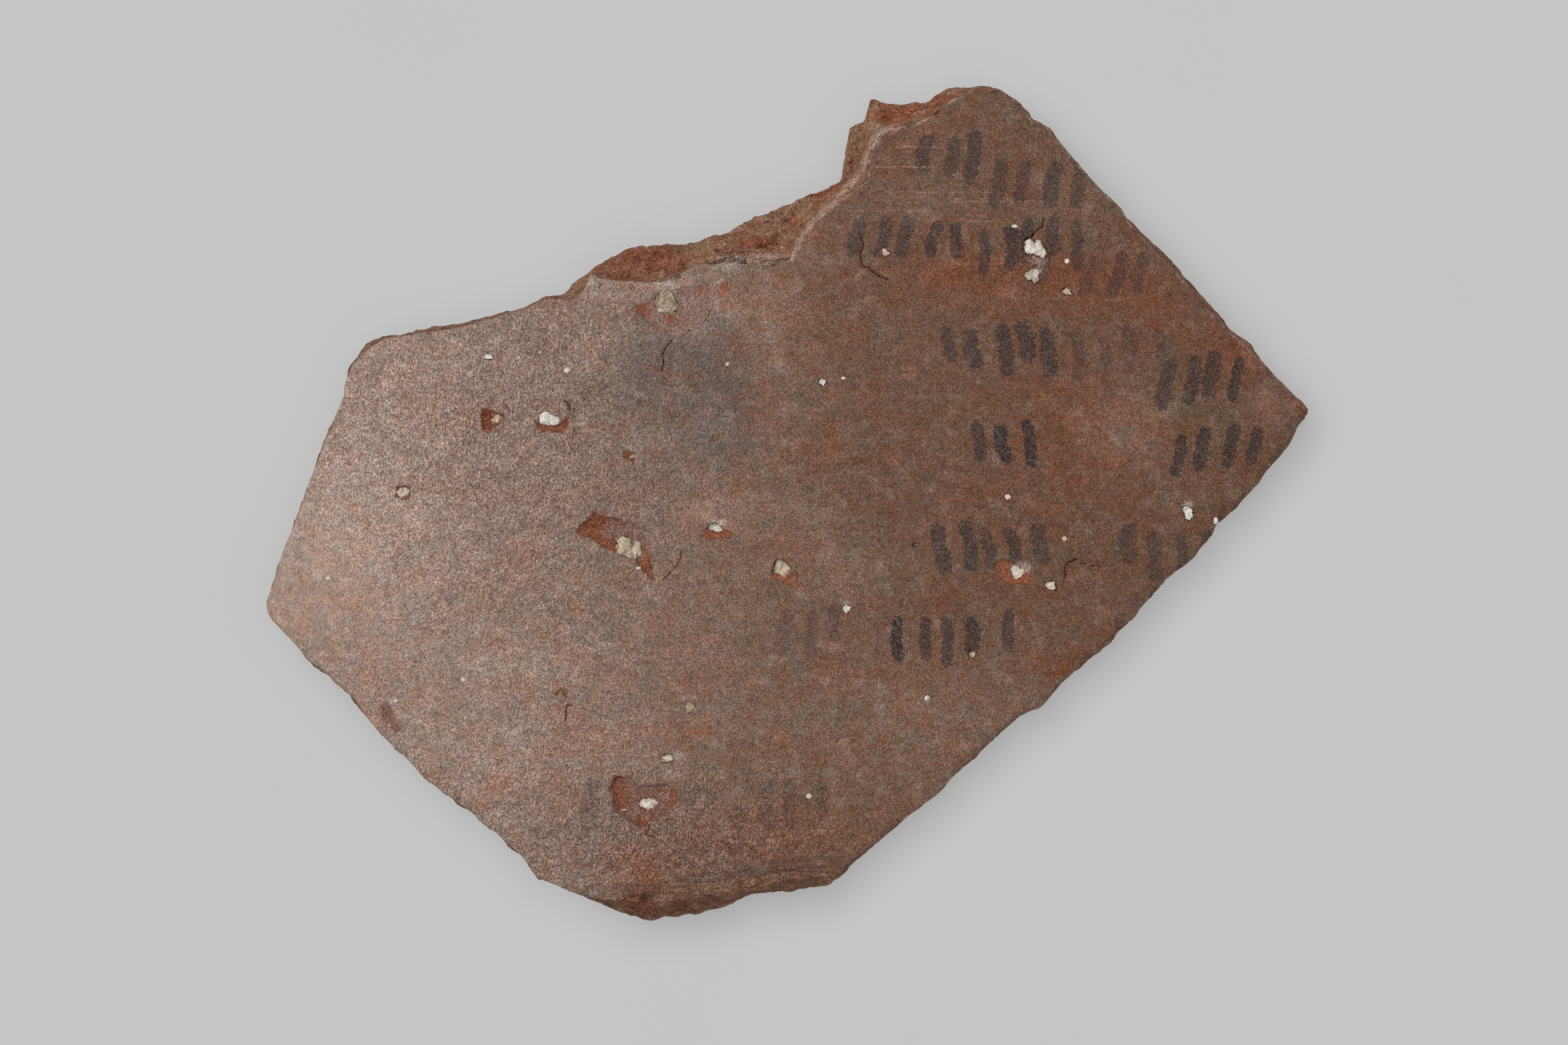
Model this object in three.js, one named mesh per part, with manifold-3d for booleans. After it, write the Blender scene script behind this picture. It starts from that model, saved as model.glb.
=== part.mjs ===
// An ostracon: a thick sherd broken from the wall of a large wheel-thrown jar, lying skin side up.
// The fired clay is one piece. The lime grains in it are pieces of their own, each in a seat that
// it has opened in the skin, and the larger ones have thrown off a flake of skin around them.
// X runs across the sherd, Y along the jar's wheel axis and Z up from the surface it lies on.
import * as THREE from "three";
import { mergeVertices } from "three/addons/utils/BufferGeometryUtils.js";
import Module from "manifold-3d";

const wasm = await Module();
wasm.setup();

// Driving dimensions, in millimetres
const sherdWidth = 100;
const sherdDepth = 80.4;
const wallThickness = 9;
const bellyRadius = 130; // outer radius of the jar at its widest
const bulgeRadius = 160; // radius of the curve that the jar's profile follows
const ridgePitch = 9; // throwing ridges on the inner face
const ridgeHeight = 0.5;
const undercut = 1.4; // how far the break runs in under the sherd at the inner face
const raggedDepth = 0.35; // roughness of the break faces
const edgeChipDepth = 0.12; // roughness of the edges that show from above
const largestGrain = 2.5;
const largestSpall = 9.5;
const deepestSpall = 0.9;
const seatGap = 0.3;
const restDepth = 0.4; // how deep the three corners that it rests on are worn flat
const overrun = 5; // how far a cutting solid passes what it cuts

// Fineness of the mesh
const wallSegments = 144;
const outerSteps = 26;
const innerSteps = 54;
const breakStep = 2.6;
const lumpDetail = 1;
const levelRounds = 4;
const seedStride = 7919;

// Depths below the skin, as shares of wallThickness, of the four lines that shape the break: the
// skin's edge, halfway out, the widest line and the inner face's edge
const breakDepthShares = [0, 0.34, 0.72, 1];

// Corners of the outline from above, clockwise from the top left, from the middle of the sherd:
// the shares of sherdWidth and sherdDepth where the break is widest and then, where the break
// face leans out, those where the skin ends above it.
const outlineShares = [
  // Top left, with a face that leans out
  [-0.408, 0.192, -0.401, 0.185], [-0.388, 0.201, -0.387, 0.195], [-0.355, 0.209, -0.354, 0.202],
  [-0.319, 0.215, -0.318, 0.209], [-0.285, 0.226, -0.283, 0.218], [-0.254, 0.234, -0.253, 0.23],
  [-0.232, 0.248, -0.231, 0.243], [-0.216, 0.251, -0.215, 0.243], [-0.205, 0.266, -0.205, 0.239],
  [-0.191, 0.278, -0.196, 0.249], [-0.186, 0.285, -0.188, 0.273], [-0.169, 0.296, -0.178, 0.264],
  [-0.147, 0.309, -0.145, 0.261], [-0.121, 0.312, -0.116, 0.264], [-0.094, 0.313, -0.098, 0.273],
  [-0.074, 0.32, -0.085, 0.285], [-0.062, 0.324, -0.059, 0.294], [-0.044, 0.335, -0.05, 0.298],
  [-0.021, 0.348, -0.033, 0.293], [-0.009, 0.354, 0.001, 0.287], [0.009, 0.364, 0.007, 0.3],
  [0.019, 0.371, 0.019, 0.325], [0.041, 0.382, 0.036, 0.347], [0.051, 0.387, 0.051, 0.36],
  // Step up to the top corner
  [0.054, 0.41, 0.077, 0.385], [0.059, 0.445, 0.078, 0.413], [0.063, 0.453, 0.086, 0.437],
  [0.075, 0.465, 0.093, 0.445], [0.081, 0.483, 0.104, 0.447], [0.116, 0.477, 0.121, 0.452],
  [0.131, 0.481, 0.136, 0.461], [0.157, 0.499, 0.158, 0.481], [0.186, 0.5, 0.187, 0.497],
  // Right of the top corner, down to the right tip
  [0.203, 0.494], [0.225, 0.477], [0.235, 0.458], [0.252, 0.449], [0.263, 0.431],
  [0.277, 0.405], [0.291, 0.387], [0.321, 0.35], [0.333, 0.337, 0.329, 0.332],
  [0.362, 0.301, 0.358, 0.295], [0.392, 0.262, 0.388, 0.256], [0.42, 0.22, 0.416, 0.215],
  [0.443, 0.191, 0.44, 0.188], [0.46, 0.164], [0.48, 0.138], [0.5, 0.112],
  // Lower right
  [0.491, 0.096], [0.481, 0.07], [0.46, 0.04], [0.447, 0.018], [0.424, -0.012],
  [0.409, -0.027], [0.408, -0.035], [0.387, -0.066], [0.359, -0.094], [0.331, -0.134],
  [0.308, -0.164], [0.288, -0.186], [0.265, -0.208], [0.241, -0.242], [0.224, -0.249],
  [0.194, -0.282], [0.175, -0.304], [0.158, -0.324], [0.139, -0.35], [0.114, -0.372],
  [0.088, -0.399],
  // Bottom, with a face that leans out
  [0.068, -0.424, 0.065, -0.421], [0.047, -0.451, 0.044, -0.441], [0.038, -0.457, 0.032, -0.442],
  [0.015, -0.459, 0.011, -0.441], [-0.011, -0.464, -0.012, -0.447],
  [-0.036, -0.468, -0.036, -0.457], [-0.064, -0.483, -0.06, -0.465],
  [-0.088, -0.491, -0.085, -0.465], [-0.114, -0.495, -0.114, -0.468],
  [-0.132, -0.5, -0.132, -0.47], [-0.155, -0.493, -0.154, -0.469],
  [-0.167, -0.483, -0.169, -0.472], [-0.198, -0.468, -0.195, -0.465],
  // Lower left
  [-0.222, -0.455], [-0.237, -0.445], [-0.253, -0.422], [-0.277, -0.394], [-0.301, -0.37],
  [-0.333, -0.341], [-0.358, -0.313], [-0.387, -0.278], [-0.404, -0.254], [-0.413, -0.233],
  [-0.433, -0.215], [-0.438, -0.207], [-0.462, -0.184], [-0.482, -0.157], [-0.498, -0.133],
  // Left tip, and up to the top left corner
  [-0.5, -0.118], [-0.486, -0.061], [-0.475, -0.03], [-0.464, 0.01], [-0.45, 0.054],
  [-0.434, 0.1], [-0.426, 0.131], [-0.425, 0.14], [-0.419, 0.164],
];

// The three corners of the inner face that it rests on, as shares of sherdWidth and sherdDepth
const restShares = [
  [-0.474, -0.155],
  [0.472, 0.06],
  [0.2, 0.46],
];

// Lime grains: where each lies, as shares of sherdWidth and sherdDepth, then its length and
// breadth as shares of largestGrain, and the degrees that it is turned by
const grainShares = [
  [0.237, 0.305, 0.9, 0.72, 25],
  [0.235, 0.27, 0.77, 0.72, 60],
  [0.266, 0.251, 0.38, 0.34, 10],
  [0.092, 0.298, 0.34, 0.3, 45],
  [-0.115, 0.234, 0.9, 0.84, 80],
  [-0.287, 0.174, 0.44, 0.3, 0],
  [-0.28, 0.101, 0.44, 0.4, 15],
  [-0.229, 0.1, 0.87, 0.58, 8],
  [-0.369, 0.012, 0.46, 0.34, 20],
  [-0.148, 0.058, 0.34, 0.32, 0],
  [0.033, 0.144, 0.34, 0.3, 70],
  [-0.15, -0.051, 1, 0.84, 5],
  [-0.069, -0.029, 0.62, 0.48, 150],
  [-0.007, -0.076, 0.62, 0.56, 35],
  [0.056, -0.125, 0.36, 0.32, 20],
  [0.176, -0.18, 0.36, 0.32, 0],
  [0.251, -0.098, 0.42, 0.4, 50],
  [0.219, -0.082, 0.6, 0.56, 100],
  [0.383, -0.013, 0.5, 0.38, 95],
  [0.121, -0.051, 0.34, 0.28, 10],
  [-0.114, -0.302, 0.42, 0.38, 30],
  [-0.132, -0.356, 0.72, 0.52, 170],
  [-0.094, -0.241, 0.46, 0.42, 60],
];

// Spalls, the shallow pits that grains have blown in the skin: place as shares of sherdWidth and
// sherdDepth, length and breadth as shares of largestSpall, degrees turned, share of deepestSpall
const spallShares = [
  [-0.104, 0.23, 1, 0.52, 12, 0.6],
  [-0.284, 0.101, 0.28, 0.26, 0, 0.6],
  [-0.227, 0.096, 0.33, 0.23, 160, 0.7],
  [-0.369, 0.011, 0.22, 0.17, 20, 0.5],
  [-0.148, 0.058, 0.17, 0.16, 0, 0.5],
  [-0.162, -0.05, 0.88, 0.42, 165, 0.7],
  [-0.067, -0.032, 0.3, 0.21, 150, 0.8],
  [-0.007, -0.076, 0.31, 0.28, 35, 0.7],
  [0.215, -0.086, 0.38, 0.18, 10, 0.6],
  [0.121, -0.051, 0.14, 0.12, 0, 0.5],
  [-0.137, -0.354, 0.72, 0.5, 170, 1],
  [-0.093, -0.253, 0.44, 0.33, 20, 0.5],
];

const grainHeightShare = 0.9; // a grain's height before wear, as a share of its breadth
const wornTopShare = 0.35; // what wear has left of the height of a grain's upper half
const grainSunkShare = 0.12; // depth of a grain's middle as a share of its height
const spallBelowShare = 0.35; // how much of the lump that cuts a spall goes below the skin
const lumpRoughShare = 0.16; // how far a lump's corners leave its ellipsoid

const clay = new THREE.MeshStandardMaterial({ color: 0x80675a, roughness: 0.95, metalness: 0 });
const lime = new THREE.MeshStandardMaterial({ color: 0xd8ccb8, roughness: 1, metalness: 0 });

const up = new THREE.Vector3(0, 0, 1);

// A steady number from -1 to 1 for each whole number
function scatter(number) {
  return THREE.MathUtils.lerp(-1, 1, THREE.MathUtils.seededRandom(number * seedStride));
}

// A closed geometry as a solid
function solidFrom(geometry) {
  geometry.deleteAttribute("normal");
  geometry.deleteAttribute("uv");
  const merged = mergeVertices(geometry);
  return new wasm.Manifold(
    new wasm.Mesh({
      numProp: 3,
      vertProperties: merged.attributes.position.array,
      triVerts: new Uint32Array(merged.index.array),
    }),
  );
}

// A solid as a named mesh
function meshFrom(solid, name, material) {
  const { vertProperties, triVerts } = solid.getMesh();
  const geometry = new THREE.BufferGeometry();
  geometry.setAttribute("position", new THREE.BufferAttribute(vertProperties, 3));
  geometry.setIndex(new THREE.BufferAttribute(triVerts, 1));
  geometry.computeVertexNormals();
  const mesh = new THREE.Mesh(geometry, material);
  mesh.name = name;
  return mesh;
}

// Outer radius of the jar at a height along its axis from the belly
function outerRadiusAt(height) {
  return bellyRadius - bulgeRadius + Math.sqrt(bulgeRadius ** 2 - height ** 2);
}

// How far a throwing ridge stands in from the inner face
function ridgeAt(height) {
  return (ridgeHeight * (1 + Math.cos((2 * Math.PI * height) / ridgePitch))) / 2;
}

// A band of the whole jar's wall, turned about Y, with its highest line at the origin
function jarWall() {
  const half = sherdDepth / 2 + wallThickness + overrun;
  const profile = [];
  for (let step = 0; step <= outerSteps; step += 1) {
    const height = half * ((2 * step) / outerSteps - 1);
    profile.push(new THREE.Vector2(outerRadiusAt(height), height));
  }
  for (let step = innerSteps; step >= 0; step -= 1) {
    const height = half * ((2 * step) / innerSteps - 1);
    const radius = outerRadiusAt(height) - wallThickness - ridgeAt(height);
    profile.push(new THREE.Vector2(radius, height));
  }
  profile.push(profile[0].clone());
  const geometry = new THREE.LatheGeometry(profile, wallSegments);
  geometry.translate(0, 0, -bellyRadius);
  return new THREE.Mesh(geometry, clay);
}

const ray = new THREE.Raycaster();

// Where a mesh is met from above at x, y, with its height and the way that it faces there
function topAt(mesh, x, y) {
  ray.set(new THREE.Vector3(x, y, wallThickness + overrun), up.clone().negate());
  const hit = ray.intersectObject(mesh)[0];
  const facing = hit.face.normal.clone().transformDirection(mesh.matrixWorld);
  return { point: hit.point, facing };
}

// The point of the wall's inner face at x, y, met from the hollow of the jar
function innerFaceAt(wall, x, y) {
  ray.set(new THREE.Vector3(x, y, wallThickness - bellyRadius), up);
  return ray.intersectObject(wall)[0].point;
}

// Turns the wall until the three corners that the sherd rests on are level, and gives their height
function levelOnCorners(wall) {
  const cornerAt = ([x, y]) => innerFaceAt(wall, x * sherdWidth, y * sherdDepth);
  for (let round = 0; round < levelRounds; round += 1) {
    const plane = new THREE.Plane().setFromCoplanarPoints(...restShares.map(cornerAt));
    if (plane.normal.z < 0) plane.negate();
    wall.applyQuaternion(new THREE.Quaternion().setFromUnitVectors(plane.normal, up));
    wall.updateMatrixWorld(true);
  }
  return cornerAt(restShares[0]).z;
}

// The outline as pairs of points, the widest line of the break and the skin's edge, no further
// apart along the outline than breakStep
function outlinePairs() {
  const corners = outlineShares.map(([x, y, skinX = x, skinY = y]) => ({
    widest: new THREE.Vector2(x * sherdWidth, y * sherdDepth),
    skin: new THREE.Vector2(skinX * sherdWidth, skinY * sherdDepth),
  }));
  return corners.flatMap((corner, index) => {
    const next = corners[(index + 1) % corners.length];
    const count = Math.ceil(corner.widest.distanceTo(next.widest) / breakStep);
    return Array.from({ length: count }, (_, step) => ({
      widest: corner.widest.clone().lerp(next.widest, step / count),
      skin: corner.skin.clone().lerp(next.skin, step / count),
    }));
  });
}

// A line of the outline moved out from the middle by a distance, more or less by its roughness
function roughened(line, distance, roughness, layer) {
  return line.map((place, index) => {
    const shift = distance + roughness * scatter(index + layer * line.length);
    return place.clone().setLength(place.length() + shift);
  });
}

// One closed line round the break, at a depth below the skin
function breakLine(wall, places, depth) {
  return places.map(({ x, y }) => {
    const { point } = topAt(wall, x, y);
    return new THREE.Vector3(x, y, point.z - depth);
  });
}

// A flat copy of a line at another height
function levelLine(line, height) {
  return line.map(({ x, y }) => new THREE.Vector3(x, y, height));
}

// The lines of the break from above the skin to below the inner face
function breakLines(wall) {
  const pairs = outlinePairs();
  const middles = pairs.map(({ widest, skin }) => skin.clone().add(widest).divideScalar(2));
  const places = [
    roughened(pairs.map(({ skin }) => skin), 0, edgeChipDepth, 0),
    roughened(middles, 0, raggedDepth, 1),
    roughened(pairs.map(({ widest }) => widest), 0, edgeChipDepth, 2),
    roughened(pairs.map(({ widest }) => widest), -undercut, raggedDepth, 3),
  ];
  const lines = places.map((line, index) =>
    breakLine(wall, line, breakDepthShares[index] * wallThickness),
  );
  const lowest = Math.min(...lines.at(-1).map(({ z }) => z));
  return [
    levelLine(lines[0], wallThickness + overrun),
    ...lines,
    levelLine(lines.at(-1), lowest - wallThickness - overrun),
  ];
}

// A closed geometry that joins lines of as many points each, with a lid on the first and the last
function loft(lines) {
  const count = lines[0].length;
  const indices = [];
  for (let line = 0; line + 1 < lines.length; line += 1) {
    for (let index = 0; index < count; index += 1) {
      const next = (index + 1) % count;
      const [a, b] = [line * count + index, line * count + next];
      const [c, d] = [a + count, b + count];
      indices.push(a, b, c, b, d, c);
    }
  }
  const first = THREE.ShapeUtils.triangulateShape(lines[0], []);
  const last = THREE.ShapeUtils.triangulateShape(lines.at(-1), []);
  const lastStart = (lines.length - 1) * count;
  indices.push(...first.flat());
  indices.push(...last.flatMap(([a, b, c]) => [a, c, b].map((index) => index + lastStart)));
  const geometry = new THREE.BufferGeometry().setFromPoints(lines.flat());
  geometry.setIndex(indices);
  return geometry;
}

// An irregular lump of the given full sizes, with its upper half worn down to a share of its height
function roughLump(length, breadth, height, topShare, seed) {
  const geometry = new THREE.IcosahedronGeometry(1, lumpDetail);
  geometry.deleteAttribute("normal");
  geometry.deleteAttribute("uv");
  const lump = mergeVertices(geometry);
  const corner = new THREE.Vector3();
  const places = lump.attributes.position;
  for (let index = 0; index < places.count; index += 1) {
    corner.fromBufferAttribute(places, index);
    corner.multiplyScalar(1 + lumpRoughShare * scatter(seed * places.count + index));
    const level = corner.z > 0 ? corner.z * topShare : corner.z;
    places.setXYZ(index, corner.x, corner.y, level);
  }
  lump.scale(length / 2, breadth / 2, height / 2);
  return lump;
}

// A lump laid on a surface that follows the wall's skin: turned, level with the skin, at the
// surface's height at x, y, and with its middle sunk below that
function laid(lump, wall, surface, x, y, degrees, sunk) {
  const { facing } = topAt(wall, x, y);
  const { point } = topAt(surface, x, y);
  lump.rotateZ(THREE.MathUtils.degToRad(degrees));
  lump.applyQuaternion(new THREE.Quaternion().setFromUnitVectors(up, facing));
  const middle = point.addScaledVector(facing, -sunk);
  lump.translate(middle.x, middle.y, middle.z);
  return solidFrom(lump);
}

// The lump that cuts a spall
function spall(wall, shares, seed) {
  const [x, y, lengthShare, breadthShare, degrees, depthShare] = shares;
  const depth = depthShare * deepestSpall;
  const height = depth / spallBelowShare;
  const length = lengthShare * largestSpall;
  const breadth = breadthShare * largestSpall;
  const lump = roughLump(length, breadth, height, 1, seed);
  return laid(lump, wall, wall, x * sherdWidth, y * sherdDepth, degrees, depth - height / 2);
}

// A lime grain in the spalled skin, or with a gap the seat that holds it
function grain(wall, spalled, shares, seed, gap) {
  const [x, y, lengthShare, breadthShare, degrees] = shares;
  const length = lengthShare * largestGrain;
  const breadth = breadthShare * largestGrain;
  const height = breadth * grainHeightShare;
  const sunk = height * grainSunkShare;
  const around = 2 * gap;
  const lump = roughLump(length + around, breadth + around, height + around, wornTopShare, seed);
  return laid(lump, wall, spalled, x * sherdWidth, y * sherdDepth, degrees, sunk);
}

// What lies below the worn points that the sherd rests on
function belowRest(height) {
  const slab = new THREE.BoxGeometry(2 * sherdWidth, 2 * sherdDepth, 2 * bellyRadius);
  slab.translate(0, 0, height - bellyRadius);
  return solidFrom(slab);
}

// The fired clay before its seats are cut: the jar's wall within the break, less the spalls and
// what is worn off below
function spalledClay(wall, restHeight) {
  const turned = wall.geometry.clone().applyMatrix4(wall.matrixWorld);
  const broken = solidFrom(turned).intersect(solidFrom(loft(breakLines(wall))));
  return spallShares
    .reduce((rest, shares, index) => rest.subtract(spall(wall, shares, index)), broken)
    .subtract(belowRest(restHeight + restDepth));
}

const wall = jarWall();
const unseated = spalledClay(wall, levelOnCorners(wall));
const spalled = meshFrom(unseated, "spalled", clay);
const body = grainShares.reduce(
  (rest, shares, index) => rest.subtract(grain(wall, spalled, shares, index, seatGap)),
  unseated,
);
const box = body.boundingBox();

const ostracon = new THREE.Group();
ostracon.name = "ostracon";
ostracon.add(meshFrom(body, "sherd_body", clay));
grainShares.forEach((shares, index) => {
  const number = String(index + 1).padStart(2, "0");
  const lump = grain(wall, spalled, shares, index, 0);
  ostracon.add(meshFrom(lump, `lime_grain_${number}`, lime));
});

// The origin is the middle of the box, on the surface that the sherd rests on
ostracon.position.set(
  -(box.min[0] + box.max[0]) / 2,
  -(box.min[1] + box.max[1]) / 2,
  -box.min[2],
);

export default ostracon;
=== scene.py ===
# %% [markdown]
# # An ostracon
#
# An ostracon is a broken piece of a jar that served as scrap paper. This one comes from the
# belly of a large wheel-thrown jar of sandy clay. It is the size of a hand's palm, lies with its
# outer skin up, and is seen from straight above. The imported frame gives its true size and
# place; this script gives it its surface: sandy skin, rough breaks, pits, cracks, lime and ink.

# %% Load the frame
import math
import random

import bmesh
import bpy
import numpy as np
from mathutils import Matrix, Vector, kdtree, noise


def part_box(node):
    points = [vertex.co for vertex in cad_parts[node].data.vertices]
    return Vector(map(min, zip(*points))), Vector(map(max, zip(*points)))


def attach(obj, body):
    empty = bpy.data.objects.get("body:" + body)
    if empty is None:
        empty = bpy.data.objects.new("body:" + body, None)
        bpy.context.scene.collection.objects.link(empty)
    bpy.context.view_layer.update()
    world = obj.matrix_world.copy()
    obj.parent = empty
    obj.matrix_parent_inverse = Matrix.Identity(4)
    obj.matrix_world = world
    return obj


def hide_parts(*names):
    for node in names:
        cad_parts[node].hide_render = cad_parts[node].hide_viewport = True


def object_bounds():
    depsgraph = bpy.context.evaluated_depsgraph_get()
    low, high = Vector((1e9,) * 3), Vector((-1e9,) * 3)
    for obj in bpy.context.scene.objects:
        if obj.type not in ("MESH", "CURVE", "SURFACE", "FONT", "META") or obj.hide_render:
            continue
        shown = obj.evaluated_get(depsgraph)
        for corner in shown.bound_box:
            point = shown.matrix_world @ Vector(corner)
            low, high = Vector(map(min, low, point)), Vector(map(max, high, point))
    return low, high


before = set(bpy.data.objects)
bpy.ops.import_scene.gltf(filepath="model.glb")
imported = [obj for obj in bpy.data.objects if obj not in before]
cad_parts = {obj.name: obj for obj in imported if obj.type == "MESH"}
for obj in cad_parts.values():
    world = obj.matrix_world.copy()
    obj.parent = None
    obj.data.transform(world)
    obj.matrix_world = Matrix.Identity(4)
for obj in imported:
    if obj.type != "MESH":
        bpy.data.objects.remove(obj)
CAD_LOW, CAD_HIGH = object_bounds()
MM = 0.001
CLAY_NODE = "sherd_body"
GRAIN_NODES = sorted(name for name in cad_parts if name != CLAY_NODE)
print("sherd", [round(side / MM, 1) for side in CAD_HIGH - CAD_LOW], "mm,", len(GRAIN_NODES), "grains")

# %% [markdown]
# ## From the photograph to the sherd
#
# Every stain, pit and crack has its place in the photograph. Places are written in the
# photograph's pixels, read one by one, and one function turns them into millimetres on the sherd.
# The sherd's own width in the picture gives the scale, so a place stays right if the frame is
# made again.

# %% Measure the photograph against the frame
PHOTO_WIDTH, PHOTO_HEIGHT = 2352, 1568
SHERD_LEFT, SHERD_RIGHT = 399, 1966
SHERD_TOP, SHERD_BOTTOM = 125.5, 1383.5
PIXEL_MM = (CAD_HIGH.x - CAD_LOW.x) / MM / (SHERD_RIGHT - SHERD_LEFT)
MIDDLE_PX = ((SHERD_LEFT + SHERD_RIGHT) / 2, (SHERD_TOP + SHERD_BOTTOM) / 2)


def spot(px, py):
    """Place on the sherd, seen from above, of a pixel of the photograph, in millimetres."""
    return np.array([px - MIDDLE_PX[0], MIDDLE_PX[1] - py]) * PIXEL_MM


def path(*pixels):
    """Several such places, in a row."""
    return np.array([spot(px, py) for px, py in pixels])


print("one pixel is", round(PIXEL_MM, 4), "mm")

# %% [markdown]
# ## Camera, table and light
#
# The sherd was photographed from straight above with a long lens, so its sides hardly show. The
# camera looks down from far away and frames just what the photograph frames. The table is pale
# grey and plain. One broad soft lamp stands to the upper left, which a sun lamp with a wide
# angle gives, and the world fills in the rest.

# %% Look straight down
LENS = 300
RIM_HEIGHT = 8 * MM


def add_camera():
    """A camera above the sherd whose frame at the height of the rim is the photograph's."""
    camera = bpy.data.objects.new("camera", bpy.data.cameras.new("camera"))
    camera.data.lens = LENS
    frame_width = PHOTO_WIDTH * PIXEL_MM * MM
    x, y = spot(PHOTO_WIDTH / 2, PHOTO_HEIGHT / 2) * MM
    distance = frame_width * LENS / camera.data.sensor_width
    camera.location = (x, y, RIM_HEIGHT + distance)
    bpy.context.scene.collection.objects.link(camera)
    bpy.context.scene.camera = camera
    return distance


print("camera", round(add_camera(), 3), "m above the rim")

# %% Helpers for materials


def srgb(red, green, blue):
    """A colour given as 0 to 255, as a picture shows it, in the linear form that a shader takes."""
    shares = [value / 255 for value in (red, green, blue)]
    linear = [s / 12.92 if s <= 0.04045 else ((s + 0.055) / 1.055) ** 2.4 for s in shares]
    return (*linear, 1.0)


def add(tree, kind, inputs=None, **settings):
    """Adds a node. An input is a value, or a socket that it is linked to."""
    node = tree.nodes.new(kind)
    for name, value in settings.items():
        setattr(node, name, value)
    for name, value in (inputs or {}).items():
        if isinstance(value, bpy.types.NodeSocket):
            tree.links.new(value, node.inputs[name])
        else:
            node.inputs[name].default_value = value
    return node


def calculate(tree, operation, first, second=0.0, third=0.0):
    """The result of a Math node."""
    values = {0: first, 1: second, 2: third}
    return add(tree, "ShaderNodeMath", values, operation=operation).outputs[0]


def times(tree, first, second):
    """Two values multiplied."""
    return calculate(tree, "MULTIPLY", first, second)


def plus(tree, first, second):
    """Two values added up."""
    return calculate(tree, "ADD", first, second)


def times_plus(tree, value, factor, more):
    """A value times a factor, and something more."""
    return calculate(tree, "MULTIPLY_ADD", value, factor, more)


def mixed(tree, share, first, second, blend="MIX"):
    """Two colours mixed by a share, as a colour."""
    node = add(tree, "ShaderNodeMix", {0: share, 6: first, 7: second}, data_type="RGBA")
    node.blend_type = blend
    return node.outputs[2]


def ramp(tree, value, low, high, out_low=0.0, out_high=1.0):
    """A value from low to high turned, with soft ends, into one from out_low to out_high."""
    ends = {"Value": value, "From Min": low, "From Max": high, "To Min": out_low, "To Max": out_high}
    return add(tree, "ShaderNodeMapRange", ends, interpolation_type="SMOOTHSTEP").outputs[0]


def new_material(name):
    """An empty node material and its output node."""
    material = bpy.data.materials.new(name)
    material.use_nodes = True
    material.node_tree.nodes.clear()
    output = material.node_tree.nodes.new("ShaderNodeOutputMaterial")
    return material, material.node_tree, output


def matt_surface(tree, output, colour, height, roughness, shine):
    """Gives the output a matt surface with a colour and a bump, its height in millimetres."""
    bump = add(tree, "ShaderNodeBump", {"Height": height, "Distance": MM, "Strength": 1.0})
    inputs = {"Base Color": colour, "Roughness": roughness, "Normal": bump.outputs[0]}
    surface = add(tree, "ShaderNodeBsdfPrincipled", inputs)
    surface.inputs["Specular IOR Level"].default_value = shine
    tree.links.new(surface.outputs[0], output.inputs[0])


print("a grey of 128 is", round(srgb(128, 128, 128)[0], 3), "in a shader")

# %% Table and light
TABLE_GREY = srgb(198, 198, 198)
TABLE_SIZE = 4.0
TABLE_STEP = 1.5 * MM
TABLE_NEAR = 90 * MM
GLOW_AT_SHERD = 0.5
SHADOW_REACH = 5.0
SHADOW_FALL = 0.7
LAMP_SHARE = 0.5
LAMP_FROM_ABOVE = math.radians(40)
LAMP_SIDE = math.radians(145)
LAMP_SPREAD = math.radians(45)


def table_material():
    """A matt grey table top that glows for the camera, more so away from the sherd.

    The photograph was lit from many sides, so its shadow ends a few millimetres from the sherd.
    """
    material, tree, output = new_material("table")
    place = add(tree, "ShaderNodeTexCoord").outputs["Object"]
    cloud = add(tree, "ShaderNodeTexNoise", {"Vector": place, "Scale": 30.0, "Detail": 2.0})
    tone = ramp(tree, cloud.outputs["Fac"], 0.2, 0.8, 0.99, 1.01)
    grey = mixed(tree, 1.0, TABLE_GREY, tone, "MULTIPLY")
    surface = add(tree, "ShaderNodeBsdfPrincipled", {"Base Color": grey, "Roughness": 0.9})
    surface.inputs["Specular IOR Level"].default_value = 0.0
    glow = add(tree, "ShaderNodeEmission", {"Color": grey, "Strength": 1.0})
    seen = add(tree, "ShaderNodeLightPath").outputs["Is Camera Ray"]
    away = add(tree, "ShaderNodeAttribute", attribute_name="from sherd").outputs["Fac"]
    near = add(tree, "ShaderNodeMapRange", {"Value": away, "From Max": SHADOW_REACH}).outputs[0]
    rise = calculate(tree, "POWER", near, SHADOW_FALL)
    glow_share = times_plus(tree, rise, 1 - GLOW_AT_SHERD, GLOW_AT_SHERD)
    share = times(tree, seen, glow_share)
    both = add(tree, "ShaderNodeMixShader", {0: share, 1: surface.outputs[0], 2: glow.outputs[0]})
    tree.links.new(both.outputs[0], output.inputs[0])
    return material


def add_table():
    """The table top, far larger than the view, in small squares near the sherd."""
    form = bmesh.new()
    steps = int(2 * TABLE_NEAR / TABLE_STEP)
    bmesh.ops.create_grid(form, x_segments=steps, y_segments=steps, size=TABLE_NEAR)
    rim = [edge for edge in form.edges if edge.is_boundary]
    made = bmesh.ops.extrude_edge_only(form, edges=rim)
    outer = [part for part in made["geom"] if isinstance(part, bmesh.types.BMVert)]
    bmesh.ops.scale(form, vec=(TABLE_SIZE / 2 / TABLE_NEAR,) * 3, verts=outer)
    mesh = bpy.data.meshes.new("table")
    form.to_mesh(mesh)
    form.free()
    table = bpy.data.objects.new("table", mesh)
    mesh.materials.append(table_material())
    bpy.context.scene.collection.objects.link(table)
    return table


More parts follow.
